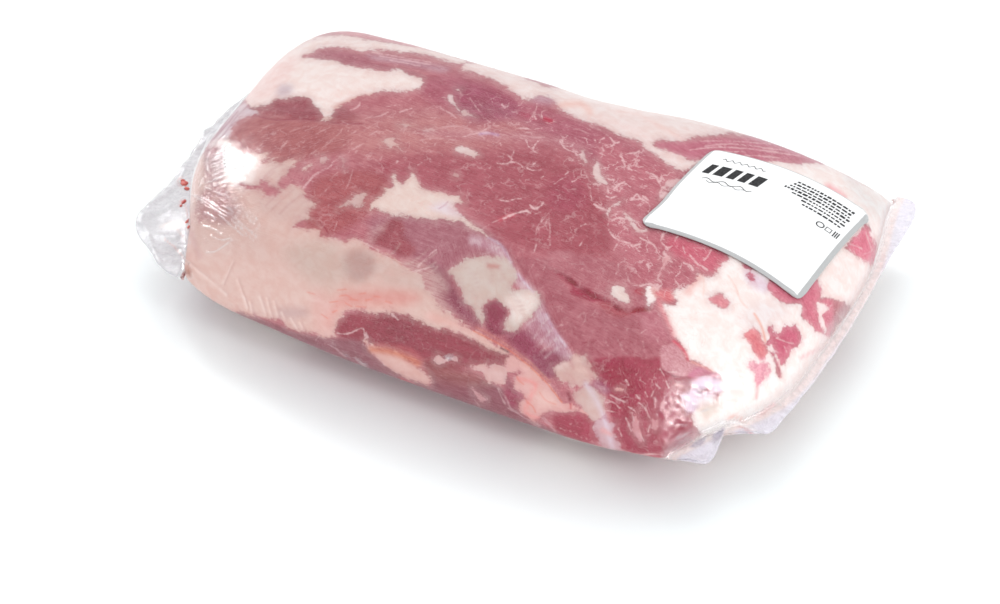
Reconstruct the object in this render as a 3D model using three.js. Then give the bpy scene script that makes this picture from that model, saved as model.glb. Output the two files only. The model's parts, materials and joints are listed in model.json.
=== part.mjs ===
// A vacuum pack of pork neck, lying on its flat underside: one boneless neck of pork drawn tight in a
// clear shrink bag, with a loose film tail at one end, a heat-sealed hem at the other, and a paper label.
// Millimetres, +Z up. +X runs along the neck towards the sealed hem, and -Y is the side that faces the viewer.
// The origin is at the middle of the footprint, on the surface that the pack lies on.
import * as THREE from "three";
import { mergeVertices } from "three/addons/utils/BufferGeometryUtils.js";

// ---------- driving dimensions ----------
const FILM_FOLD = 1.6; // thickness of the two film layers where they lie together, with air between
const SECTION_POWER = 3.06; // squareness of the cross-section: 2 is an ellipse
const WIDEST_SHARE = 0.42; // height of the widest line, as a share of the crest height
const LEVEL_SHARE = 0.4; // how far from the middle that holds, before the line bends to the end's own height
const TABLE_SQUASH = 1.5; // how far the soft underside is pressed flat by its own weight

// Seven cross-sections, evenly spaced from the tail end to the hem end.
const BACK_HALF_WIDTH = [74, 73, 72, 73, 79, 88, 94];
const FRONT_HALF_WIDTH = [79, 83.5, 87, 88.5, 90, 91.5, 89.5];
const CREST_HEIGHT = [84, 81.5, 79.5, 78.5, 77, 73.5, 67];

// The two lines where the ends close: x at five points, evenly spaced from the front edge to the back edge,
// the line's height, and how bluntly the neck ends there (a superellipse's power along the neck).
const TAIL_END = { x: [-118.5, -136, -138.5, -139.5, -134.5], z: 32, power: 3.7 };
const HEM_END = { x: [100, 127.5, 135, 137, 131], z: 26, power: 2.3 };

// Outer edges of the two flat film bands, as x, y, z from the back corner round to the front corner.
// The tail is loose and has a slanted front edge. The hem is straight, then folds in and ends in an ear.
const TAIL_EDGE = [
  [-134, 68, 31],
  [-150, 57, 29],
  [-157, 36, 28],
  [-159, 10, 28],
  [-156, -22, 28],
  [-157, -48, 28],
  [-155, -58, 28],
  [-142, -69, 28],
  [-129, -79, 29],
  [-115, -83, 31],
];
const HEM_EDGE = [
  [128, 98, 25],
  [139, 99, 25],
  [142, 88, 25],
  [141, 62, 25],
  [140, 20, 24],
  [138, -10, 23],
  [134, -42, 23],
  [130, -59, 23],
  [123, -61, 24],
  [116, -63, 25],
  [116, -77, 23],
  [115, -85, 23],
  [108, -84, 24],
  [101, -84, 25],
];
const TAIL_RIPPLE = { height: 1.6, length: 23 };
const HEM_RIPPLE = { height: 0.7, length: 15 };

// The label's corners in plan, from the front corner at its tail end round to the back one, and how far its
// two long edges bow towards the back. It follows the skin, a little above it.
const LABEL = {
  corners: [
    [57, -17],
    [122, -6],
    [129, 65],
    [65, 43],
  ],
  bow: 2,
  cornerRadius: 3.5,
  gap: 0.4,
  thickness: 0.4,
};

// Low forms of the muscles under the film: seams between them (negative height) and swells (positive).
// Each follows a path on the skin and fades out over its width on both sides.
const RELIEF = [
  // the seam between the front muscle and the membrane over it
  { height: -1.6, width: 7, path: [[-41, -87, 35], [-14, -87, 48], [38, -89, 47], [58, -91, 40], [84, -90, 26]] },
  // the silverskin band that runs down over the front, and the seam along its right edge
  { height: 1.6, width: 9, path: [[0, -62, 71], [29, -79, 58], [56, -88, 45], [68, -91, 36]] },
  { height: -2.4, width: 7, path: [[15, -57, 72], [29, -68, 67], [50, -79, 58], [71, -87, 45], [79, -91, 32]] },
  // the crescent slit, and the flat muscle in front of it
  { height: -1.6, width: 6, path: [[34, -57, 70], [41, -63, 68], [52, -64, 65], [62, -62, 64], [77, -54, 62]] },
  { height: 1.2, width: 14, path: [[62, -76, 58], [84, -70, 52]] },
  // the long seam on the crest, under the white fat, and the short one towards the label
  { height: -1.5, width: 7, path: [[-107, -8, 75], [-73, -1, 78], [-24, 28, 77], [7, 20, 77], [59, 1, 72]] },
  { height: -1.2, width: 7, path: [[42, -21, 74], [57, -27, 71], [77, -43, 65]] },
  // the fat cap at the hem end
  { height: 1.6, width: 13, path: [[88, -40, 61], [106, -40, 53]] },
  // the hollow and the shoulder along the back edge, and the bulge at the tail end's front corner
  { height: -1.8, width: 15, path: [[6, 60, 66], [24, 60, 66]] },
  { height: 1.2, width: 10, path: [[-118, 58, 60], [-110, 65, 60]] },
  { height: 1.6, width: 13, path: [[-112, -78, 18], [-100, -84, 16]] },
];

// Relief is whole above one height and gone below another, and it fades out by a power of the place along.
const RELIEF_FADE = { whole: 14, gone: 1, endPower: 12 };

// Numbers of points and rings in the meshes.
const POINTS_AROUND = 88;
const RINGS_ALONG = 50;
const TAIL_RINGS = 4;
const HEM_RINGS = 3;
const LABEL_POINTS = 56;
const LABEL_RINGS = 7;
const TRACE_STEPS = 2000;
const INVERSE_STEPS = 20;

// ---------- the body as a function ----------
// A smooth line through evenly spaced values, read at a place from -1 (the first value) to 1 (the last).
function profile(values) {
  const line = new THREE.SplineCurve(values.map((value, i) => new THREE.Vector2(i, value)));
  return (place) => line.getPoint((place + 1) / 2).y;
}
const backAt = profile(BACK_HALF_WIDTH);
const frontAt = profile(FRONT_HALF_WIDTH);
const crestAt = profile(CREST_HEIGHT);
const tailLineAt = profile(TAIL_END.x);
const hemLineAt = profile(HEM_END.x);

// One cross-section at u, which runs from -1 (tail end) to 1 (hem end): the height of its widest line,
// and its reach up and down from there, which falls to half a film fold at both ends.
function sectionAt(u) {
  const end = u < 0 ? TAIL_END : HEM_END;
  const crest = crestAt(u);
  const towardsEnd = Math.max(0, (Math.abs(u) - LEVEL_SHARE) / (1 - LEVEL_SHARE)) ** 2;
  const centre = THREE.MathUtils.lerp(WIDEST_SHARE * crest, end.z, towardsEnd);
  const fullness = Math.max(0, 1 - Math.abs(u) ** end.power) ** (1 / end.power);
  return {
    centre,
    up: Math.hypot((crest - centre) * fullness, FILM_FOLD / 2),
    down: Math.hypot(centre * fullness, FILM_FOLD / 2),
  };
}

// The section's outline in a direction, with its half width and its reach taken as 1.
function outlineAt(angle) {
  const c = Math.cos(angle);
  const s = Math.sin(angle);
  const r = (Math.abs(c) ** SECTION_POWER + Math.abs(s) ** SECTION_POWER) ** (-1 / SECTION_POWER);
  return { side: r * c, height: r * s };
}

// A point of the smooth form: u along the neck, angle round it from the back edge over the crest.
function formPoint(u, angle) {
  const { centre, up, down } = sectionAt(u);
  const { side, height } = outlineAt(angle);
  const x = THREE.MathUtils.lerp(tailLineAt(side), hemLineAt(side), (u + 1) / 2);
  const y = side * (side > 0 ? backAt(u) : frontAt(u));
  const z = centre + height * (height > 0 ? up : down) - TABLE_SQUASH;
  return new THREE.Vector3(x, y, Math.max(z, 0));
}
function formNormal(u, angle) {
  const small = 0.005;
  const inwards = u < 0 ? 1 : -1;
  const here = formPoint(u, angle);
  const along = formPoint(u + inwards * small, angle).sub(here).multiplyScalar(inwards);
  const round = formPoint(u, angle + small).sub(here);
  return round.cross(along).normalize();
}

// How far the skin stands out from the smooth form, by all the seams and swells near a point.
const reliefPaths = RELIEF.map(({ height, width, path }) => {
  const points = path.map((p) => new THREE.Vector3(...p));
  return { height, width, lines: points.slice(1).map((point, i) => new THREE.Line3(points[i], point)) };
});
function reliefAt(point) {
  const nearest = new THREE.Vector3();
  let sum = 0;
  for (const { height, width, lines } of reliefPaths) {
    let distance = Infinity;
    for (const line of lines) {
      line.closestPointToPoint(point, true, nearest);
      distance = Math.min(distance, nearest.distanceTo(point));
    }
    sum += height * Math.exp(-((distance / width) ** 2));
  }
  return sum;
}

// A point of the skin with its relief, which fades out at the ends and where the pack lies on the table.
function skinPoint(u, angle, lift = 0) {
  const point = formPoint(u, angle);
  const { whole, gone, endPower } = RELIEF_FADE;
  const fade = (1 - Math.abs(u) ** endPower) * THREE.MathUtils.smoothstep(point.z, gone, whole);
  const out = reliefAt(point) * fade + lift;
  return out === 0 ? point : point.addScaledVector(formNormal(u, angle), out);
}

// The skin's point near a place of the plan, on the upper side, lifted off the skin along its normal.
function skinAbove(x, y, lift) {
  let u = 0;
  let side = 0;
  for (let step = 0; step < INVERSE_STEPS; step++) {
    side = y / (y > 0 ? backAt(u) : frontAt(u));
    u = (2 * (x - tailLineAt(side))) / (hemLineAt(side) - tailLineAt(side)) - 1;
  }
  const height = (1 - Math.abs(side) ** SECTION_POWER) ** (1 / SECTION_POWER);
  return skinPoint(u, Math.atan2(height, side), lift);
}

// ---------- evenly spaced samples ----------
// Values from low to high at which the traced line is cut into pieces of equal length.
function evenly(count, low, high, trace) {
  const valueAt = (i) => low + ((high - low) * i) / TRACE_STEPS;
  const lengths = [0];
  let last = trace(low);
  for (let i = 1; i <= TRACE_STEPS; i++) {
    const next = trace(valueAt(i));
    lengths.push(lengths[i - 1] + last.distanceTo(next));
    last = next;
  }
  const made = [];
  for (let k = 0, i = 0; k < count; k++) {
    while (i < TRACE_STEPS && lengths[i] < (lengths[TRACE_STEPS] * k) / (count - 1)) i++;
    made.push(valueAt(i));
  }
  return made;
}
// One quarter of the way round, mirrored into the other three, so that upper and lower points match.
const quarterCount = POINTS_AROUND / 4;
const quarter = evenly(quarterCount + 1, 0, Math.PI / 2, (angle) => formPoint(0, angle));
const AROUND = Array.from({ length: POINTS_AROUND }, (_, k) => {
  const turn = Math.floor(k / quarterCount);
  const within = k % quarterCount;
  const start = (turn * Math.PI) / 2;
  return turn % 2 === 0 ? start + quarter[within] : start + Math.PI / 2 - quarter[quarterCount - within];
});
const ALONG = evenly(RINGS_ALONG, -1, 1, (u) => skinPoint(u, Math.PI / 2));

// ---------- the rings of the whole bag ----------
const bodyRing = (u) => AROUND.map((angle) => skinPoint(u, angle));

// The rings of a flat film band, from the closed end of the neck at u out to the band's outer edge.
function bandRings(u, edgePoints, ripple, count) {
  const edge = new THREE.CatmullRomCurve3(edgePoints.map((p) => new THREE.Vector3(...p)), false, "centripetal");
  const half = POINTS_AROUND / 2;
  const root = bodyRing(u);
  const outer = root.map((point, k) => {
    const end = edge.getPointAt(k <= half ? k / half : 2 - k / half);
    const fold = k % half === 0 ? 0 : Math.sign(half - k) * (FILM_FOLD / 2);
    const wave = Math.sin((end.y * 2 * Math.PI) / ripple.length) * Math.cos(end.y / ripple.length);
    end.z += fold + ripple.height * wave;
    return end;
  });
  const rings = [];
  for (let ring = 1; ring <= count; ring++) {
    rings.push(root.map((point, k) => point.clone().lerp(outer[k], ring / count)));
  }
  return rings;
}

const rings = [
  ...bandRings(-1, TAIL_EDGE, TAIL_RIPPLE, TAIL_RINGS).reverse(),
  ...ALONG.map(bodyRing),
  ...bandRings(1, HEM_EDGE, HEM_RIPPLE, HEM_RINGS),
];

// A closed skin over the rings. Each end ring is flat, so its upper points are joined to its lower ones.
function closedSkin(ringList) {
  const n = POINTS_AROUND;
  const index = [];
  const quad = (a, b, c, d) => index.push(a, b, c, b, d, c);
  for (let i = 0; i + 1 < ringList.length; i++)
    for (let j = 0; j < n; j++) {
      const next = (j + 1) % n;
      quad(i * n + j, i * n + next, (i + 1) * n + j, (i + 1) * n + next);
    }
  const last = (ringList.length - 1) * n;
  for (let j = 0; j < n / 2; j++) {
    const lower = (n - j) % n;
    const lowerNext = n - 1 - j;
    if (j > 0) index.push(j, lower, lowerNext);
    if (j + 1 !== lowerNext) index.push(j, lowerNext, j + 1);
    if (j > 0) index.push(last + j, last + lowerNext, last + lower);
    if (j + 1 !== lowerNext) index.push(last + j, last + j + 1, last + lowerNext);
  }
  const position = ringList.flat().flatMap((p) => p.toArray());
  const geometry = new THREE.BufferGeometry();
  geometry.setAttribute("position", new THREE.Float32BufferAttribute(position, 3));
  geometry.setIndex(index);
  return mergeVertices(geometry, 1e-3);
}

// The label's rounded outline, in its own square from -1 to 1 each way, and that square's place in plan.
const labelCorners = LABEL.corners.map((p) => new THREE.Vector2(...p));
function labelOutline() {
  const [frontTail, frontHem, backHem] = labelCorners;
  const halfWide = frontTail.distanceTo(frontHem) / 2;
  const halfDeep = frontHem.distanceTo(backHem) / 2;
  const r = LABEL.cornerRadius;
  const shape = new THREE.Shape();
  shape.absarc(halfWide - r, halfDeep - r, r, 0, Math.PI / 2);
  shape.absarc(r - halfWide, halfDeep - r, r, Math.PI / 2, Math.PI);
  shape.absarc(r - halfWide, r - halfDeep, r, Math.PI, 1.5 * Math.PI);
  shape.absarc(halfWide - r, r - halfDeep, r, 1.5 * Math.PI, 2 * Math.PI);
  shape.closePath();
  return shape.getSpacedPoints(LABEL_POINTS).slice(1).map((p) => [p.x / halfWide, p.y / halfDeep]);
}
function labelPlace(a, b) {
  const [frontTail, frontHem, backHem, backTail] = labelCorners;
  const front = frontTail.clone().lerp(frontHem, (a + 1) / 2);
  const back = backTail.clone().lerp(backHem, (a + 1) / 2);
  const place = front.lerp(back, (b + 1) / 2);
  place.y += LABEL.bow * (1 - a * a);
  return place;
}

// The label: a thin plate over the skin. Each face is a set of rings that shrink to the middle point.
function labelPlate() {
  const outline = labelOutline();
  const n = outline.length;
  const position = [];
  const index = [];
  const facePoint = (a, b, lift) => {
    const place = labelPlace(a, b);
    position.push(...skinAbove(place.x, place.y, lift).toArray());
  };
  for (const [face, lift] of [LABEL.gap, LABEL.gap + LABEL.thickness].entries()) {
    const start = position.length / 3;
    const turn = (a, b, c) => (face === 1 ? index.push(a, b, c) : index.push(a, c, b));
    for (let ring = 0; ring < LABEL_RINGS; ring++) {
      const share = 1 - ring / LABEL_RINGS;
      for (const [a, b] of outline) facePoint(a * share, b * share, lift);
    }
    facePoint(0, 0, lift);
    const centre = start + LABEL_RINGS * n;
    for (let j = 0; j < n; j++) {
      const next = (j + 1) % n;
      for (let ring = 0; ring + 1 < LABEL_RINGS; ring++) {
        const outer = start + ring * n;
        turn(outer + j, outer + next, outer + n + j);
        turn(outer + next, outer + n + next, outer + n + j);
      }
      const inner = start + (LABEL_RINGS - 1) * n;
      turn(inner + j, inner + next, centre);
    }
  }
  const top = LABEL_RINGS * n + 1;
  for (let j = 0; j < n; j++) {
    const next = (j + 1) % n;
    index.push(j, next, top + j, next, top + next, top + j);
  }
  const geometry = new THREE.BufferGeometry();
  geometry.setAttribute("position", new THREE.Float32BufferAttribute(position, 3));
  geometry.setIndex(index);
  return geometry;
}

const bag = new THREE.Mesh(
  closedSkin(rings),
  new THREE.MeshStandardMaterial({ color: 0xb5656c, roughness: 0.35, metalness: 0 }),
);
bag.name = "filled_bag";

const label = new THREE.Mesh(
  labelPlate(),
  new THREE.MeshStandardMaterial({ color: 0xf6f6f4, roughness: 0.5, metalness: 0 }),
);
label.name = "label";

const pack = new THREE.Group();
pack.add(bag, label);
const middleOfFootprint = new THREE.Box3().setFromObject(pack).getCenter(new THREE.Vector3());
pack.position.set(-middleOfFootprint.x, -middleOfFootprint.y, 0);
export default pack;
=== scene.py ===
# %% [markdown]
# # A vacuum pack of pork neck
# A boneless neck of pork, drawn tight in a clear shrink bag, lies on a pale floor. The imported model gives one
# smooth bag and one label plate. This lesson puts the real thing in their place: the meat with its fat and
# seams, the film around it with its tail and hem, and a printed paper label.

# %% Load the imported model
import json
import math
import random

import bpy
import numpy as np
from mathutils import Matrix, Vector, noise
from mathutils.bvhtree import BVHTree

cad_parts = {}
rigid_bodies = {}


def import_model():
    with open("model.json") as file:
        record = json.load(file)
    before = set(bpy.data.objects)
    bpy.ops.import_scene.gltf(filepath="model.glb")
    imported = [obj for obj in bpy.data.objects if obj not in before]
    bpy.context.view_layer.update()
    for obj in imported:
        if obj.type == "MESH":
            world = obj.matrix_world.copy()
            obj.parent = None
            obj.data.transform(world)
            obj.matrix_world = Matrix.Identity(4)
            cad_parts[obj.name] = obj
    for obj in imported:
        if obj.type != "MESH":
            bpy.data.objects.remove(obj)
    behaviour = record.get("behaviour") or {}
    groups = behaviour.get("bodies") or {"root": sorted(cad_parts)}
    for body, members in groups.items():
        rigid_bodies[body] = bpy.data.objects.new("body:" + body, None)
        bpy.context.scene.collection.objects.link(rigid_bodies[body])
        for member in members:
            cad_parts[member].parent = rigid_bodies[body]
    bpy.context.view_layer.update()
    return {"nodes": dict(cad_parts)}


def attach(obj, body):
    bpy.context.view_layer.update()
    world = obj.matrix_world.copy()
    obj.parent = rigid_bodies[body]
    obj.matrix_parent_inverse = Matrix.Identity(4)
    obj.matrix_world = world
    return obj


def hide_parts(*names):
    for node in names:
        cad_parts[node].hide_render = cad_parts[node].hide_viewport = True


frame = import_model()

MM = 0.001
print("pieces in the frame:", sorted(frame["nodes"]))

# %% [markdown]
# ## The camera
# The photograph was taken from above the front right, with a long lens. Its place comes first, because the
# markings on the meat are placed through it: a spot that is seen in the photograph is looked up on the skin
# that carries it. A camera needs a place, a target and a lens, and here they are kept as plain vectors, so
# that the same numbers turn any point of the skin into a place in the picture. They come from a fit of the
# bag's outline to the one in the photograph.

# %% Place the camera
PICTURE_SIZE = (1000, 604)
SENSOR_WIDTH = 36
LENS = 90.065
CAMERA_AZIMUTH = math.radians(24.893)
CAMERA_ELEVATION = math.radians(41.731)
CAMERA_DISTANCE = 1.01088
CAMERA_TARGET = np.array([0.01774, -0.04878, 0.035])

level = math.cos(CAMERA_ELEVATION)
TOWARDS_CAMERA = np.array([math.sin(CAMERA_AZIMUTH) * level, -math.cos(CAMERA_AZIMUTH) * level,
                           math.sin(CAMERA_ELEVATION)])
PICTURE_RIGHT = np.array([math.cos(CAMERA_AZIMUTH), math.sin(CAMERA_AZIMUTH), 0.0])
PICTURE_UP = np.cross(TOWARDS_CAMERA, PICTURE_RIGHT)
EYE = CAMERA_TARGET + TOWARDS_CAMERA * CAMERA_DISTANCE
PIXELS = PICTURE_SIZE[0] * LENS / SENSOR_WIDTH

camera = bpy.data.objects.new("camera", bpy.data.cameras.new("camera"))
camera.data.lens = LENS
camera.data.sensor_width = SENSOR_WIDTH
camera.data.clip_start = 0.05
camera.data.clip_end = 60
turn = Matrix((PICTURE_RIGHT, PICTURE_UP, TOWARDS_CAMERA)).transposed()
camera.matrix_world = Matrix.Translation(Vector(EYE)) @ turn.to_4x4()
bpy.context.scene.collection.objects.link(camera)
bpy.context.scene.camera = camera


def picture_places(points):
    """Where points of the model are in the picture, in pixels."""
    offset = points - EYE
    depth = -offset @ TOWARDS_CAMERA
    across = PICTURE_SIZE[0] / 2 + PIXELS * (offset @ PICTURE_RIGHT) / depth
    down = PICTURE_SIZE[1] / 2 - PIXELS * (offset @ PICTURE_UP) / depth
    return np.stack([across, down], axis=1)


print("one millimetre is about %.2f pixels" % (PIXELS * MM / CAMERA_DISTANCE))

# %% [markdown]
# ## Floor and light
# The pack lies on a white surface that melts into a white background. A large plane does that, as long as
# its light is a little stronger than white. A wide soft light from above and behind leaves the near side
# darker and draws a soft shadow at the near edge, and smaller lights give the film its gloss.

# %% Floor, world and lamps
for thing in bpy.context.scene.objects:
    thing.select_set(False)
bpy.ops.mesh.primitive_plane_add(size=8, location=(0, 0, 0))
floor = bpy.context.object
floor.name = "floor"

floor_paint = bpy.data.materials.new("floor_white")
floor_paint.use_nodes = True
paint_nodes = floor_paint.node_tree.nodes
paint_shader = paint_nodes["Principled BSDF"]
paint_shader.inputs["Base Color"].default_value = (0.92, 0.96, 0.96, 1)
paint_shader.inputs["Roughness"].default_value = 0.9
paint_shader.inputs["Specular IOR Level"].default_value = 0.1
floor.data.materials.append(floor_paint)

world = bpy.data.worlds.new("studio")
world.use_nodes = True
WORLD_STRENGTH = 1.0
world.node_tree.nodes["Background"].inputs["Color"].default_value = (0.97, 0.985, 1, 1)
world.node_tree.nodes["Background"].inputs["Strength"].default_value = WORLD_STRENGTH
bpy.context.scene.world = world
bpy.context.scene.view_settings.view_transform = "Standard"


def add_lamp(name, place, aim, size, power):
    """A rectangular soft light at a place, turned to an aim, both in metres."""
    lamp = bpy.data.objects.new(name, bpy.data.lights.new(name, "AREA"))
    lamp.data.shape = "RECTANGLE"
    lamp.data.size, lamp.data.size_y = size
    lamp.data.energy = power
    lamp.location = place
    lamp.rotation_euler = (Vector(aim) - Vector(place)).to_track_quat("-Z", "Y").to_euler()
    bpy.context.scene.collection.objects.link(lamp)
    return lamp


top_light = add_lamp("top_light", (-0.5, 1.2, 2.2), (0, 0, 0), (1.6, 1.6), 14)
top_light.visible_glossy = False
add_lamp("left_light", (-1.15, 0.52, 0.98), (-0.1, 0, 0.05), (0.2, 0.4), 5.0)
add_lamp("right_light", (1.23, -0.40, 0.76), (0.1, 0, 0.04), (0.2, 0.3), 3.8)
left_box = add_lamp("left_gloss", (-1.5, 0.27, 0.72), (-0.1, 0, 0.05), (0.5, 0.34), 10)
right_box = add_lamp("right_gloss", (1.52, -0.16, 0.62), (0.1, 0, 0.04), (0.26, 0.26), 2.6)
left_box.visible_diffuse = False
right_box.visible_diffuse = False

# %% [markdown]
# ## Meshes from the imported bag
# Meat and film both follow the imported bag, so both start as copies of it. The copy is a net of loose
# triangles: merging its points closes it, joining triangle pairs gives a grid, and a subdivision surface
# rounds it. Markings need points close together, so only what the camera sees gets the finest grid.

# %% Helpers for copying and selecting
def select_only(thing):
    for other in bpy.context.view_layer.objects:
        other.select_set(False)
    thing.select_set(True)
    bpy.context.view_layer.objects.active = thing


def copy_of_node(node, name):
    """A merged copy of a CAD node, in quads where its triangles pair up."""
    source = frame["nodes"][node]
    copy = bpy.data.objects.new(name, source.data.copy())
    bpy.context.scene.collection.objects.link(copy)
    copy.data.materials.clear()
    select_only(copy)
    bpy.ops.object.mode_set(mode="EDIT")
    bpy.ops.mesh.select_all(action="SELECT")
    bpy.ops.mesh.customdata_custom_splitnormals_clear()
    bpy.ops.mesh.remove_doubles(threshold=0.00001)
    bpy.ops.mesh.tris_convert_to_quads(face_threshold=0.8, shape_threshold=1.2)
    bpy.ops.object.mode_set(mode="OBJECT")
    return copy


def points_of(thing):
    places = np.empty(len(thing.data.vertices) * 3)
    thing.data.vertices.foreach_get("co", places)
    return places.reshape(-1, 3)


def normals_of(thing):
    ways = np.empty(len(thing.data.vertices) * 3)
    thing.data.vertices.foreach_get("normal", ways)
    return ways.reshape(-1, 3)


def move_points(thing, places):
    thing.data.vertices.foreach_set("co", np.asarray(places, dtype=float).ravel())
    thing.data.update()


def facing_camera(places, ways):
    """1 where a surface looks straight at the camera, 0 at its outline, below 0 where it looks away."""
    sight = EYE - places
    sight /= np.linalg.norm(sight, axis=1, keepdims=True)
    return (sight * ways).sum(axis=1)


def face_arrays(thing):
    """Middle and normal of each face, as arrays."""
    faces = thing.data.polygons
    middles, ways = np.empty(len(faces) * 3), np.empty(len(faces) * 3)
    faces.foreach_get("center", middles)
    faces.foreach_get("normal", ways)
    return middles.reshape(-1, 3), ways.reshape(-1, 3)


def select_faces(thing, chosen):
    """Selects the faces that an array of true and false picks, and nothing else."""
    thing.data.vertices.foreach_set("select", np.zeros(len(thing.data.vertices), dtype=bool))
    thing.data.edges.foreach_set("select", np.zeros(len(thing.data.edges), dtype=bool))
    thing.data.polygons.foreach_set("select", np.asarray(chosen, dtype=bool))
    thing.data.update()


def refine(thing, chosen, cuts, smoothness=0.0):
    """Cuts each edge of the chosen faces into cuts + 1 pieces."""
    bpy.ops.object.mode_set(mode="EDIT")
    bpy.ops.mesh.select_mode(type="FACE")
    bpy.ops.mesh.select_all(action="DESELECT")
    bpy.ops.object.mode_set(mode="OBJECT")
    select_faces(thing, chosen)
    bpy.ops.object.mode_set(mode="EDIT")
    bpy.ops.mesh.subdivide(number_cuts=cuts, smoothness=smoothness)
    bpy.ops.object.mode_set(mode="OBJECT")


def round_off(thing, levels):
    """Applies a subdivision surface."""
    select_only(thing)
    modifier = thing.modifiers.new("round", "SUBSURF")
    modifier.levels = modifier.render_levels = levels
    bpy.ops.object.modifier_apply(modifier=modifier.name)


def relax(thing, chosen, factor, repeat):
    """Smooths the chosen faces' points."""
    bpy.ops.object.mode_set(mode="EDIT")
    bpy.ops.mesh.select_mode(type="FACE")
    bpy.ops.mesh.select_all(action="DESELECT")
    bpy.ops.object.mode_set(mode="OBJECT")
    select_faces(thing, chosen)
    bpy.ops.object.mode_set(mode="EDIT")
    bpy.ops.mesh.vertices_smooth(factor=factor, repeat=repeat)
    bpy.ops.object.mode_set(mode="OBJECT")


def triangles(thing):
    return sum(len(face.vertices) - 2 for face in thing.data.polygons)


# %% [markdown]
# ## The meat's mesh
# The bag's solid has two flat bands, the film tail and the sealed hem, where there is no meat. Each begins at
# a line across the end, where the two film layers meet. The same few values that place those lines in the
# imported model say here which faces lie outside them. Those are deleted, and each thin slit that stays is
# closed by merging its two edges. The meat then shrinks a little, to leave room for the film.

# %% The lines where the ends close
PLAN_SHIFT = np.array([8.412, -3.921]) * MM  # from the source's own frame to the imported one
TAIL_LINE_X = [-118.5, -136, -138.5, -139.5, -134.5]
HEM_LINE_X = [100, 127.5, 135, 137, 131]
TAIL_HALF_WIDTHS = (79, 74)
HEM_HALF_WIDTHS = (89.5, 94)


def smooth_line(values, places):
    """A smooth line through evenly spaced values, at places from -1 (first) to 1 (last)."""
    values = np.asarray(values, dtype=float)
    along = (np.clip(places, -1, 1) + 1) / 2 * (len(values) - 1)
    start = np.minimum(along.astype(int), len(values) - 2)
    t = along - start
    before, after = values[np.maximum(start - 1, 0)], values[np.minimum(start + 2, len(values) - 1)]
    low, high = values[start], values[start + 1]
    rise, fall = (high - before) / 2, (after - low) / 2
    square = 3 * (high - low) - 2 * rise - fall
    cube = 2 * (low - high) + rise + fall
    return low + rise * t + square * t**2 + cube * t**3


def line_x(line, half_widths, y):
    """Where an end line is along the pack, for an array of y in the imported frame, all in metres."""
    own_y = (y - PLAN_SHIFT[1]) / MM
    places = np.where(own_y < 0, own_y / half_widths[0], own_y / half_widths[1])
    return smooth_line(line, places) * MM + PLAN_SHIFT[0]


def past_tail_line(points):
    """How far points lie outside the tail's line, in metres, below 0 inside the body."""
    return line_x(TAIL_LINE_X, TAIL_HALF_WIDTHS, points[:, 1]) - points[:, 0]


def past_hem_line(points):
    return points[:, 0] - line_x(HEM_LINE_X, HEM_HALF_WIDTHS, points[:, 1])


# %% Cut the flat bands off and refine what shows
MEAT_INSET = 0.6 * MM
SLIT = 2.6 * MM
SEEN = 0.02
MEAT_CUTS = 1

meat = copy_of_node("filled_bag", "pork_neck")
middles, ways = face_arrays(meat)
band_faces = (past_tail_line(middles) > 0.2 * MM) | (past_hem_line(middles) > 0.2 * MM)
select_faces(meat, band_faces)
bpy.ops.object.mode_set(mode="EDIT")
bpy.ops.mesh.select_mode(type="FACE")
bpy.ops.mesh.delete(type="FACE")
bpy.ops.mesh.select_mode(type="VERT")
bpy.ops.mesh.select_all(action="DESELECT")
bpy.ops.mesh.select_non_manifold()
bpy.ops.mesh.remove_doubles(threshold=SLIT)
bpy.ops.mesh.select_all(action="DESELECT")
bpy.ops.mesh.select_non_manifold()
bpy.ops.object.mode_set(mode="OBJECT")
open_points = sum(v.select for v in meat.data.vertices)
print("band faces cut off:", int(band_faces.sum()), "open points left:", open_points)
if open_points:
    bpy.ops.object.mode_set(mode="EDIT")
    bpy.ops.mesh.fill_holes(sides=0)
    bpy.ops.object.mode_set(mode="OBJECT")
round_off(meat, 1)
middles, ways = face_arrays(meat)
seen_faces = facing_camera(middles, ways) > SEEN
refine(meat, seen_faces, MEAT_CUTS, 1.0)
relax(meat, np.ones(len(meat.data.polygons), dtype=bool), 0.5, 3)
select_only(meat)
bpy.ops.object.mode_set(mode="EDIT")
bpy.ops.mesh.select_all(action="SELECT")
bpy.ops.transform.shrink_fatten(value=-MEAT_INSET)
bpy.ops.object.mode_set(mode="OBJECT")
bpy.ops.object.shade_smooth()
print("meat triangles:", triangles(meat))

# %% [markdown]
# ## Painting the meat
# On the real neck, lean muscle, white fat, pale membrane and thin veins lie side by side with clear edges.
# A material can draw such edges sharper than the grid, when each point stores how far it is from the edge,
# and not just a colour. So every outline below is drawn in the picture's pixels, and each point of the skin
# stores its distance to the nearest outline. The tones were typed one by one, many of them against mean
# colours read at single spots of the photograph. The sides that the camera doesn't see get fat and lean
# from three-dimensional noise, in the same sizes.

# %% Helpers for the traced outlines
REACH = 16.0  # pixels past which a distance doesn't matter


def light_of(shade):
    """A colour as seen on a screen, 0 to 255, as light from 0 to 1."""
    part = np.asarray(shade, dtype=float) / 255
    return np.where(part < 0.04045, part / 12.92, ((part + 0.055) / 1.055) ** 2.4)


def step(values, low, high):
    t = np.clip((values - low) / (high - low), 0, 1)
    return t * t * (3 - 2 * t)


def spots_of(text):
    """Places in the picture, from text such as "10,20 30,40"."""
    return np.array([spot.split(",") for spot in text.split()], dtype=float)


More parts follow.
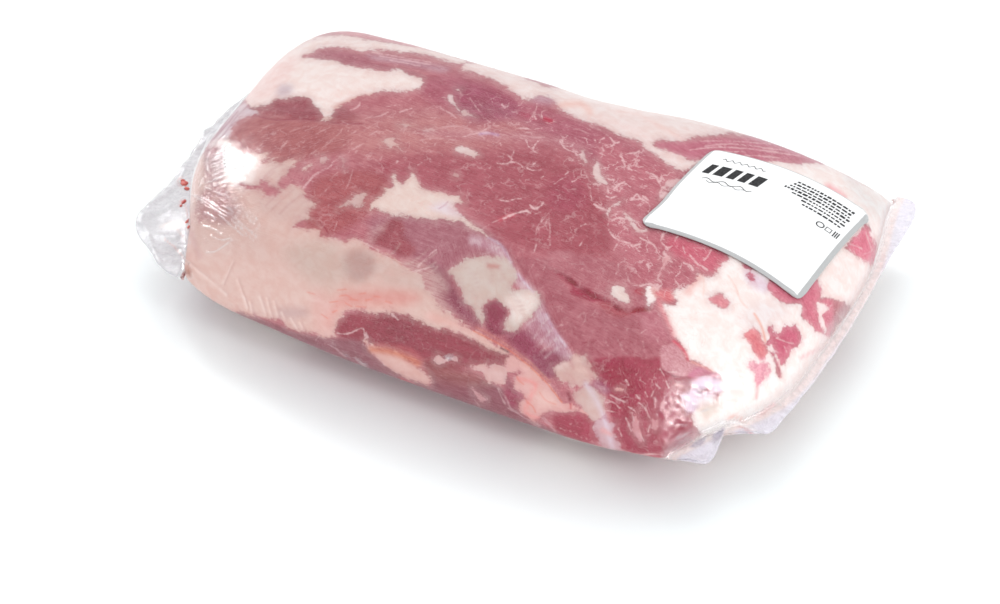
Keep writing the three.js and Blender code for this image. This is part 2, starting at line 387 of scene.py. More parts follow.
def rounded(trace, closed, parts=3):
    """A traced line with its corners rounded, by a smooth curve through its points."""
    corners = np.asarray(trace, dtype=float)
    if len(corners) < 3:
        return corners
    index = np.arange(len(corners) if closed else len(corners) - 1)
    rows = [index - 1, index, index + 1, index + 2]
    rows = [row % len(corners) if closed else np.clip(row, 0, len(corners) - 1) for row in rows]
    before, low, high, after = (corners[row] for row in rows)
    rows = []
    for t in np.arange(parts) / parts:
        bend = (high - before) * t + (2 * before - 5 * low + 4 * high - after) * t**2
        rows.append(low + (bend + (3 * low - before - 3 * high + after) * t**3) / 2)
    curve = np.stack(rows, axis=1).reshape(-1, 2)
    return curve if closed else np.vstack([curve, corners[-1:]])


def distance_to(trace, closed=True, half_width=0.0, reach=REACH, places=None, facing=None):
    """Points near a trace and their distance to it in pixels, above 0 inside an outline or on a wide line."""
    places = meat_places if places is None else places
    facing = meat_facing if facing is None else facing
    curve = rounded(spots_of(trace) if isinstance(trace, str) else trace, closed)
    low, high = curve.min(axis=0) - reach, curve.max(axis=0) + reach
    near = np.nonzero(((places > low) & (places < high)).all(axis=1) & (facing > 0))[0]
    spots = places[near]
    starts, ends = (curve, np.roll(curve, -1, axis=0)) if closed else (curve[:-1], curve[1:])
    gap = np.full(len(near), 1e9)
    inside = np.zeros(len(near), dtype=bool)
    for start, end in zip(starts, ends):
        way = end - start
        t = np.clip(((spots - start) @ way) / max(way @ way, 1e-9), 0, 1)
        gap = np.minimum(gap, np.linalg.norm(spots - start - t[:, None] * way, axis=1))
        if closed:
            crosses = (start[1] > spots[:, 1]) != (end[1] > spots[:, 1])
            drop = end[1] - start[1]
            at = start[0] + (spots[:, 1] - start[1]) * way[0] / (drop if drop else 1e-9)
            inside ^= crosses & (spots[:, 0] < at)
    distance = np.where(inside, gap, -gap) if closed else half_width - gap
    keep = distance > -reach
    return near[keep], distance[keep]


# %% Tones that several pieces share
# The third is the muscle on the right: partly its own colour, partly painted light, as that side is brighter.
LEAN, CRIMSON, RIGHT_LEAN_WITH_LIGHT = (186, 112, 120), (164, 74, 88), (214, 116, 134)
WHITE, SNOW = (243, 226, 220), (253, 240, 236)

# %% Traces of the photograph, as places in the picture
WASHES = [  # name, tone, onto lean or fat or both, half-width of a line, softness, strength, trace
    ("muscle over the top seam", (158, 78, 88), "lean", None, 4, 1,
     "246,112 262,100 300,92 330,100 360,118 330,123 257,114"),
    ("muscle under the top seam", (172, 98, 100), "lean", None, 7, 1,
     "232,132 257,114 300,119 350,125 345,150 300,160 262,170 236,158"),
    # A painted sheen: the middle of the top gets a lighter muscle tone for its soft gloss.
    ("light middle", (190, 122, 122), "lean", None, 16, 0.8,
     "340,125 400,112 470,116 520,126 500,150 430,160 360,158"),
    ("reddish middle", (172, 90, 100), "lean", None, 14, 1,
     "380,160 470,150 560,150 600,190 590,250 500,225 440,190 390,180"),
    ("deep left of the slit", (170, 88, 98), "lean", None, 10, 1,
     "490,212 560,190 606,205 612,240 600,256 540,250 500,236"),
    ("crimson heart", (166, 78, 94), "lean", None, 9, 0.8, "555,178 580,180 586,205 560,212 548,200"),
    ("brownish by the splash", (172, 92, 96), "lean", None, 6, 1,
     "320,176 372,170 390,190 372,212 330,236 306,226 308,196"),
    ("back muscle", (176, 98, 112), "lean", None, 7, 1,
     "420,84 460,74 520,98 600,128 660,166 650,200 590,160 520,122 440,106"),
    ("deep by the crescent", (160, 80, 100), "lean", None, 6, 0.8, "456,84 500,92 520,112 480,124 460,112"),
    ("marbled pink", (190, 112, 122), "lean", None, 10, 1,
     "600,140 660,165 690,175 650,215 730,255 700,290 650,290 620,250 608,200"),
    # Painted light: the muscle by the label is made lighter, as the right side is brighter.
    ("bright by the label", (204, 104, 120), "lean", None, 5, 1,
     "672,236 700,244 730,258 716,272 690,262 668,248"),
    ("flat plateau", (176, 104, 113), "lean", None, 2, 1,
     "516,259 530,258 549,259 556,271 562,280 570,290 575,298 585,303 597,308 606,313 614,317 622,318 "
     "630,316 640,312 650,313 660,312 668,326 674,338 679,344 672,344 662,346 660,356 648,358 630,357 "
     "600,359 588,360 580,352 572,344 562,334 552,322 546,308 536,292 526,276"),
    ("plateau, upper slab", (184, 113, 121), "lean", None, 1.8, 1,
     "549,252 560,251 570,251 577,255 590,257 600,258 612,262 622,266 630,272 633,282 640,286 648,290 "
     "650,300 645,306 634,308 629,311 622,307 612,301 603,298 596,293 588,288 580,287 577,283 572,278 "
     "565,275 558,271 552,264 548,258"),
    ("plateau, pinker end", (194, 122, 132), "lean", None, 8, 1, "640,312 660,312 676,340 672,342 650,340"),
    ("pale panel", (204, 142, 149), "lean", None, 1.4, 1,
     "662,346 668,345 674,343 678,346 682,352 685,358 692,363 700,364 697,369 690,373 682,378 676,377 "
     "670,374 664,371 661,366 660,352"),
    ("lens", (163, 70, 86), "lean", None, 1.5, 1,
     "556,271 560,273 566,277 573,279 577,283 580,288 588,288 596,293 603,298 612,301 606,302 598,301 "
     "592,302 585,299 578,297 573,295 570,291 572,287 568,283 561,277"),
    ("lens, deepest", (146, 54, 72), "lean", None, 1.5, 0.9, "566,276 574,280 578,285 574,285 568,281"),
    ("lens, deepest part on the right", (150, 58, 74), "lean", None, 2, 0.9,
     "586,289 592,292 598,296 600,300 593,299 587,294"),
    ("under the lens", (172, 90, 98), "lean", None, 1.4, 1,
     "598,303 604,301 612,302 620,306 629,312 628,315 620,317 612,315 604,310"),
    ("under the lens, deepest", (146, 56, 72), "lean", None, 1.2, 0.9,
     "614,302 618,306 622,309 618,311 614,307"),
    ("second lens", (158, 56, 74), "lean", None, 1.1, 1,
     "630,312 634,308 642,306.5 650,308 653,309 648,311 640,311.5 632,313"),
    ("patch by the fat", (176, 84, 94), "lean", None, 1, 1,
     "634,290 640,288 646,289 646,295 640,295 634,292"),
    ("crimson front corner", CRIMSON, "lean", None, 2, 1,
     "580,353 590,360 600,358 620,357 640,357 648,359 660,357 661,366 670,374 684,380 690,378 692,392 "
     "682,400 692,420 690,440 660,452 620,450 612,422 606,395 596,380 590,366"),
    ("nick on the plateau", (150, 60, 74), "lean", 0.4, 1, 0.9, "583,342.5 594,342"),
    ("darker crimson", (152, 58, 76), "lean", None, 9, 0.8, "596,364 625,362 640,385 625,400 608,385"),
    ("front muscle", (152, 72, 82), "lean", None, 3, 1,
     "334,332 350,313 400,313 445,328 508,354 504,364 470,366 430,372 420,356 370,345"),
    ("front muscle, dark end", (146, 72, 82), "lean", None, 10, 0.6, "380,316 410,318 420,345 392,340"),
    ("front underside", (148, 92, 101), "lean", None, 3, 1,
     "235,312 266,320 300,333 336,338 362,342 384,364 430,385 430,372 470,378 500,386 515,400 530,420 "
     "610,452 640,470 400,420 250,340"),
    ("brown front", (152, 92, 92), "lean", None, 7, 0.8, "424,360 450,366 478,374 490,386 450,384 428,376"),
    ("wine by the seam", (158, 80, 96), "lean", None, 3, 1, "505,376 516,388 524,398 518,410 505,398"),
    ("muscle under the front fat", CRIMSON, "lean", None, 3, 1,
     "556,412 580,410 597,421 600,440 580,442 556,430"),
    ("silverskin over the middle", (172, 108, 118), "lean", None, 7, 1,
     "372,216 440,214 483,228 510,258 470,258 448,272 420,264 396,250 376,240"),
    ("maroon lobe", (160, 84, 92), "lean", None, 2.5, 1,
     "372,240 384,224 398,218 405,228 404,236 416,250 405,258 392,250 378,246"),
    ("pale haze above the lobe", (196, 150, 150), "lean", None, 4, 0.6,
     "366,236 372,230 380,226 388,222 384,230 376,238 372,244"),
    ("dark band left of the fat", (150, 84, 98), "lean", None, 6, 1,
     "428,262 446,270 460,295 480,322 470,324 444,304 434,285"),
    ("dark gap in the fat", (150, 74, 90), "lean", None, 2, 1,
     "484,306 498,300 508,310 504,328 510,334 492,334 484,322"),
    ("dark band under the fat", (152, 76, 94), "lean", None, 5, 1,
     "506,334 520,328 532,334 540,346 556,362 556,378 530,360 512,346"),
    ("muscle by the band", (152, 84, 100), "lean", None, 3, 1,
     "540,352 560,350 574,358 558,366 552,378 540,372 532,360"),
    ("lavender edge", (205, 166, 175), "lean", 5, 4, 0.8,
     "474,240 486,244 498,250 505,260 511,270 520,281 529,291 536,303 541,316 547,327 554,338 562,349 "
     "568,356"),
    ("silverskin by the band", (188, 144, 158), "lean", None, 6, 0.6,
     "541,302 552,326 566,346 560,352 540,344 524,326 534,314"),
    ("bluish tail of the band", (220, 210, 222), "both", 2, 3.5, 0.6,
     "586,384 593,394 598,404 603,415 607,428 612,446"),
    ("violet patch", (166, 114, 134), "lean", None, 4, 0.6, "592,383 598,379 610,390 604,394 594,390"),
    ("silverskin on the top strip", (186, 142, 154), "lean", None, 4, 0.7,
     "366,54 395,57 432,64 450,68 440,72 400,64 372,60"),
    ("top strip", (172, 100, 112), "lean", None, 3, 1,
     "308,57 330,50 366,56 372,62 400,68 420,74 425,78 400,72 345,66 318,60"),
    ("violet end of the back fat", (190, 160, 178), "lean", None, 6, 0.5, "528,94 552,96 550,104 532,100"),
    ("light streak field", (196, 134, 140), "lean", None, 5, 0.6,
     "420,132 480,128 560,138 590,150 540,142 460,140"),
    ("lilac in the streak", (206, 170, 196), "lean", 1.2, 1.6, 0.8, "480,134 488,133 498,135"),
    ("wine line at the notch", (132, 34, 56), "lean", 0.3, 1.1, 0.9, "320,223 325,228 328,233"),
    ("red dot by the back vein", (190, 60, 84), "lean", 2, 2, 0.9, "545,119 551,121"),
    ("red start of the pink vein", (196, 78, 92), "lean", 1.6, 2, 0.8, "500,220 508,216 514,215"),
    ("top seam", (150, 62, 76), "lean", 0.6, 1.6, 0.9, "257,115 275,119 305,118 335,122 362,123"),
    ("red spot in the middle", (172, 60, 80), "lean", 1, 4, 0.7, "388,162 390,176"),
    ("red by the back vein", (176, 70, 92), "lean", 2, 4, 0.7, "520,114 535,118"),
    # Muscle round the label and towards the right end: partly its own tone, partly painted light, as that side
    # is brighter.
    ("muscle over the label", (194, 110, 127), "lean", None, 3, 1,
     "655,144 700,140 760,138 840,168 760,162 690,160"),
    ("mauve rim over the label", (196, 138, 156), "lean", 2.5, 4, 0.8, "735,130 780,140 810,152 838,166"),
    ("muscle under the label", RIGHT_LEAN_WITH_LIGHT, "lean", None, 3, 1,
     "764,288 775,280 800,292 815,280 824,292 820,300 832,300 832,340 818,334 802,318 800,304 780,303"),
    ("star", (206, 102, 124), "lean", None, 4, 1, "766,326 798,324 804,345 788,360 782,368 768,348"),
    ("salmon island", (226, 128, 134), "lean", None, 3, 1, "742,334 756,328 768,352 762,362 750,352"),
    ("rose island by the hem cap", (237, 164, 178), "lean", None, 3, 1, "747,362 770,360 770,384 752,386"),
    ("red island at the hem", (226, 122, 142), "lean", None, 3, 1,
     "848,246 866,226 880,256 874,268 856,256"),
    ("island in the fat", (226, 138, 146), "lean", None, 3, 1, "706,300 717,294 729,301 726,309 711,303"),
    ("islet", (200, 100, 120), "lean", 6, 3, 1, "744,270 756,284"),
    ("plum at the fat's foot", (196, 112, 134), "lean", None, 2.5, 1,
     "688,376 696,367 705,364 714,369 720,377 710,380 698,381"),
    ("orange island", (224, 130, 134), "lean", None, 3, 1, "655,291 668,290 675,298 668,302 656,296"),
    ("dark line", (146, 52, 72), "lean", 0.5, 1.5, 0.9, "664,371 674,376 690,378"),
    ("purple patches at the tail end", (196, 148, 146), "lean", None, 6, 1,
     "196,204 206,190 216,184 228,190 232,200 224,208 208,220 198,224"),
    ("dark rose at the tail end", (190, 130, 136), "lean", None, 4, 1, "205,148 214,148 214,154 206,155"),
    ("pink hint on the cap", (240, 200, 196), "fat", None, 8, 0.5, "246,90 268,68 300,56 280,90 256,104"),
    ("grey spot on the cap", (196, 172, 180), "fat", None, 5, 0.8, "280,86 292,86 290,95 278,96"),
    ("orange rim of the cap", (226, 176, 166), "fat", 1.5, 3, 0.9, "335,108 352,100 372,95"),
    ("speckled back rim", (206, 128, 134), "both", 1.5, 2.5, 0.75,
     "240,103 252,80 265,64 283,50 300,39 330,30 370,37 410,44 470,58 530,73 575,88"),
    ("red spot on the rim", (190, 50, 60), "both", 0.8, 1.5, 1, "241,96 241,101"),
    ("orange on the back band", (240, 190, 178), "fat", 3, 4, 0.7, "560,106 580,104 590,112"),
    ("orange on the back band, right", (242, 196, 186), "fat", 1.5, 5, 0.5, "618,112 640,116 700,150"),
    ("cream tongue", (240, 208, 204), "fat", 2, 6, 0.5, "600,118 640,134 680,160"),
    # White fat at the tail end, made whiter still by a painted highlight.
    ("white left end", (250, 240, 236), "fat", None, 8, 1,
     "206,146 228,138 250,156 262,170 252,186 236,188 216,176"),
    ("streaky fat", (210, 178, 171), "fat", None, 7, 0.75,
     "262,158 290,164 304,186 316,206 316,224 290,222 264,214 252,190"),
    ("pink rim of the tail end", (238, 206, 198), "fat", 4, 5, 0.9, "200,158 195,180 193,200"),
    ("rosy rim of the tail end", (226, 186, 178), "fat", 3, 4, 0.7, "192,215 190,240 192,258"),
    ("greyish oval", (176, 142, 136), "fat", None, 7, 0.7,
     "343,256 352,250 364,250 374,256 378,266 372,276 360,282 348,278 341,268"),
    ("greyish field", (206, 180, 170), "fat", None, 12, 0.8,
     "286,250 318,240 340,248 344,280 320,284 300,272"),
    ("greyish field, right", (210, 182, 174), "fat", None, 8, 0.7,
     "380,258 430,274 446,296 420,292 384,284"),
    ("salmon smear", (218, 150, 142), "fat", None, 9, 0.8,
     "334,300 350,291 400,290 420,298 400,306 350,307 336,314 328,322"),
    ("pink edge of the membrane", (222, 170, 164), "fat", None, 8, 0.5,
     "316,290 330,300 335,330 318,334 312,310"),
    ("grey at the pleats", (196, 160, 158), "fat", None, 6, 0.7, "278,308 306,308 306,316 286,318"),
    ("strip to the front", (226, 180, 172), "fat", 4, 4, 0.8, "430,316 470,330 510,350 540,376"),
    ("dark nick", (110, 60, 66), "both", 0.6, 1.3, 1, "501,348 508,352"),
    ("central fat, lit", (232, 214, 208), "fat", None, 6, 1, "505,300 528,292 538,300 530,314 515,322"),
    ("spot on the central fat", (196, 140, 134), "fat", 2.4, 2, 0.8, "489,266 497,267"),
    ("pink fat, lit", (226, 184, 178), "fat", None, 6, 1, "536,390 550,392 560,402 548,410 536,404"),
    ("pink fat, salmon", (230, 150, 146), "fat", 1.5, 3, 0.8, "518,378 536,384 530,398 526,412 540,418"),
    ("orange on the cream", (204, 124, 100), "both", 3, 4, 0.85, "372,349 388,351 404,356 418,363"),
    ("rose on the cream", (180, 92, 96), "lean", 2, 3, 0.7, "376,345 392,346 410,350 420,358"),
    ("red foot of the cream", (206, 104, 110), "both", 1, 3, 0.7, "400,378 412,383"),
    ("spot at the front patch", (132, 48, 60), "both", 1.5, 2.5, 0.9, "568,392 570,400"),
    ("red at the front patch", (196, 60, 78), "both", 0.6, 1.4, 0.8, "571,404 571,408"),
    ("pink in the bright foot", (222, 158, 156), "fat", 2, 3, 0.7, "603,430 611,434"),
    ("haze at the hem cap", (242, 176, 168), "fat", 3, 5, 0.7, "688,292 697,280 704,272"),
    ("haze along the plateau", (240, 160, 164), "both", 1.5, 3, 0.8, "658,300 668,322 674,336"),
    ("red edge of the panel", (226, 84, 104), "both", 1, 2, 0.85, "674,341 680,346 685,352 688,360"),
    ("orange edge", (240, 176, 160), "both", 0.6, 2, 0.7, "692,362 704,367 712,371"),
    ("grey under the film", (222, 204, 194), "fat", None, 6, 0.8,
     "700,400 716,396 718,410 706,420 698,412"),
    ("lilac by the islet", (232, 212, 226), "fat", None, 5, 0.8, "745,268 770,282 766,292 750,286"),
    ("grey below the big fat", (236, 220, 220), "fat", None, 10, 0.6, "740,320 760,300 790,312 760,330"),
    ("rose streak", (240, 180, 180), "fat", 1.2, 2, 0.9, "757,382 757,390 756,398"),
    ("red specks at the hem", (222, 120, 122), "fat", 1.8, 3, 0.75, "758,417 766,411 773,405"),
    ("orange specks at the hem", (228, 140, 118), "fat", 0.8, 2.5, 0.75, "727,418 735,416 744,422"),
    ("red streaks at the hem", (232, 140, 150), "fat", 0.8, 3, 0.7, "800,358 812,352 828,346"),
    ("rose by the label", (246, 166, 172), "fat", 2.5, 4, 0.9, "828,187 836,192 843,198"),
    ("salmon by the label", (246, 196, 188), "fat", 2.5, 4, 0.8, "780,171 798,177"),
    ("grey film corner", (232, 224, 222), "fat", None, 10, 0.8, "846,178 872,192 890,205 880,222 862,206"),
    ("lilac in the splash", (226, 208, 222), "fat", None, 5, 0.5,
     "430,208 444,202 456,208 464,216 450,216 440,213"),
    ("wine threads in the splash", (188, 130, 148), "fat", 0.3, 1.1, 0.8, "439,209 444,206 448,202"),
    ("big fat, seam", (244, 200, 188), "fat", 0.5, 1.6, 0.8, "728,276 735,286 738,295 741,302 747,308"),
    ("big fat, short seam", (245, 206, 194), "fat", 0.4, 1.6, 0.7, "702,274 704,284 703,296"),
    ("orange thread by the salmon island", (238, 164, 142), "fat", 0.8, 1.6, 0.9,
     "754,314 759,322 763,332 765,342"),
    ("rose foot of the star", (238, 168, 174), "fat", 0.8, 1.5, 0.9, "778,362 779,370 780,377"),
    ("red thread 1", (222, 112, 92), "fat", 0.2, 1.2, 0.7, "340,296 346,295 352,298"),
    ("red thread 2", (222, 112, 92), "fat", 0.2, 1.2, 0.7, "350,299 358,300"),
    ("red thread 3", (222, 112, 92), "fat", 0.2, 1.2, 0.7, "366,300 372,299"),
    ("red thread 4", (222, 112, 92), "fat", 0.2, 1.2, 0.7, "356,306 366,307"),
    ("red thread 5", (222, 112, 92), "fat", 0.2, 1.2, 0.7, "330,302 338,301"),
    ("red thread 6", (222, 112, 92), "fat", 0.2, 1.2, 0.7, "308,292 315,294"),
    ("red thread 7", (222, 112, 92), "fat", 0.2, 1.2, 0.7, "333,312 337,310"),
    ("red thread 8", (222, 112, 92), "fat", 0.2, 1.2, 0.7, "346,303 352,306"),
    ("red thread 9", (222, 112, 92), "fat", 0.2, 1.2, 0.7, "374,296 380,297"),
    ("red thread 10", (222, 112, 92), "fat", 0.2, 1.2, 0.7, "386,301 392,303"),
    ("red thread 11", (222, 112, 92), "fat", 0.2, 1.2, 0.7, "338,290 346,289"),
    ("red thread 12", (222, 112, 92), "fat", 0.2, 1.2, 0.7, "360,294 366,293"),
    ("red thread 13", (222, 112, 92), "fat", 0.2, 1.2, 0.7, "322,314 328,318"),
    ("brown arc by the lobe", (200, 140, 130), "fat", 0.3, 1.2, 0.8, "384,252 392,258 402,265"),
    ("brown arc, second", (206, 150, 140), "fat", 0.3, 1.2, 0.7, "376,246 384,250 394,256"),
    ("orange in the front fat", (222, 122, 104), "fat", 0.4, 1.3, 0.7, "516,374 519,380 524,384"),
    ("orange in the front fat, second", (222, 122, 104), "fat", 0.4, 1.3, 0.7,
     "524,396 528,402 533,406 536,412"),
    ("orange in the front fat, third", (222, 132, 114), "fat", 0.4, 1.5, 0.6, "540,392 546,400 556,404"),
    ("wine streak 1", (168, 108, 122), "both", 0.5, 1.6, 0.8, "243,103 234,112 222,128 208,146"),
    ("wine streak 2", (168, 108, 122), "both", 0.5, 1.6, 0.8, "248,106 238,116 226,132 216,143"),
    ("wine streak 3", (168, 108, 122), "both", 0.5, 1.6, 0.8, "238,112 228,124 214,140 200,155"),
    ("orange thread", (214, 118, 92), "both", 0.4, 1.2, 0.9,
     "474,331 490,339 505,348 520,359 535,371 548,384 562,402"),
    ("orange thread, second", (200, 130, 116), "both", 0.4, 1.4, 0.8,
     "476,327 490,335 505,344 520,355 535,367 550,382"),
    ("pink under the label corner", (250, 230, 226), "fat", None, 14, 0.8,
     "812,300 850,250 880,230 872,262 846,330 820,350"),
    ("brownish shade at the tail end", (206, 166, 160), "fat", None, 7, 0.7,
     "204,186 226,178 244,200 240,222 214,226 200,208"),
    ("haze beside the membrane", (196, 152, 150), "lean", None, 8, 0.75,
     "404,262 416,262 430,268 444,276 448,288 444,300 452,312 440,310 426,294 414,278"),
    ("white fibres to the silverskin", (206, 170, 165), "lean", 0.4, 1.8, 0.5,
     "404,270 416,266 426,260 437,252; 410,273 424,269 436,262; 396,262 408,264 418,258 428,250; 414,277 "
     "426,274 438,266; 400,244 394,252 388,256"),
    ("lilac glints on the band", (220, 202, 218), "both", 0.8, 1.8, 0.6,
     "488,237 500,244 507,254 511,263; 518,274 526,284 533,292; 546,314 552,326 560,338 566,346"),
    ("streaks across the band", (212, 182, 184), "lean", 0.7, 2, 0.42,
     "548,318 540,328 534,338; 554,326 546,336 540,344; 560,336 550,344 541,352; 566,344 554,350 545,358; "
     "542,308 536,318 528,324; 530,292 524,298; 500,246 490,252 482,254"),
    ("streaks in the streaky fat", (186, 132, 132), "fat", 0.4, 2, 0.4,
     "262,200 270,190 280,180; 266,206 276,196 286,188; 272,210 282,200 294,190; 280,214 290,204 300,196; "
     "258,190 266,180 274,172; 264,178 272,170 282,165"),
    ("mauve through the glints", (168, 116, 120), "fat", None, 4, 0.8,
     "207,150 224,146 226,160 222,180 208,184 204,170"),
    ("mauve at the diagonal folds", (176, 128, 130), "fat", None, 6, 0.65,
     "198,200 214,190 230,196 238,212 226,224 208,220"),
    # Painted shade and painted highlight side by side along the membrane's pleats, for the shading of their
    # folds.
    ("pleats, shade", (200, 158, 152), "fat", 0.6, 2, 0.5,
     "235,262 231,270 225,284; 239,280 244,294 249,308; 262,297 265,306 268,315; 269,298 271,307 274,317; "
     "276,301 278,309 280,317; 284,312 287,320; 293,318 299,328; 302,322 306,331; 192,264 202,272 216,283 "
     "228,294; 252,302 254,312; 246,298 249,310"),
    ("pleats, light", (244, 224, 217), "fat", 0.6, 2, 0.55,
     "233,261 229,269 223,283; 237,280 242,294 247,308; 260,297 263,306 266,315; 267,298 269,307 272,317; "
     "274,301 276,309 278,317; 282,312 285,320; 291,318 297,328; 300,322 304,331; 190,264 200,273 214,284 "
     "226,295; 250,302 252,312; 244,298 247,310"),
    ("mauve rim of the tail end", (206, 158, 158), "fat", 1.5, 4, 0.6, "192,232 196,246 200,256"),
    # The front patch: painted highlight on its lobes and painted shade in its pinker folds.
    ("front patch, lit lobes", (224, 196, 189), "fat", 2.2, 3, 0.8,
     "559,367 566,363; 576,359 582,359; 578,370 586,371"),
    ("front patch, pink folds", (196, 142, 142), "fat", 0.7, 2.2, 0.6,
     "566,374 572,378 574,384; 584,364 588,370 592,376; 571,362 573,368"),
    # Painted shade in the pinker folds of the central fat; its lit tone above is a painted highlight.
    ("central fat, pink folds", (196, 158, 154), "fat", 0.7, 2.4, 0.5,
     "466,268 474,276 478,286; 486,262 492,272 490,284; 500,268 504,276 500,284; 472,292 478,300; 512,296 "
     "520,304 522,314"),
]

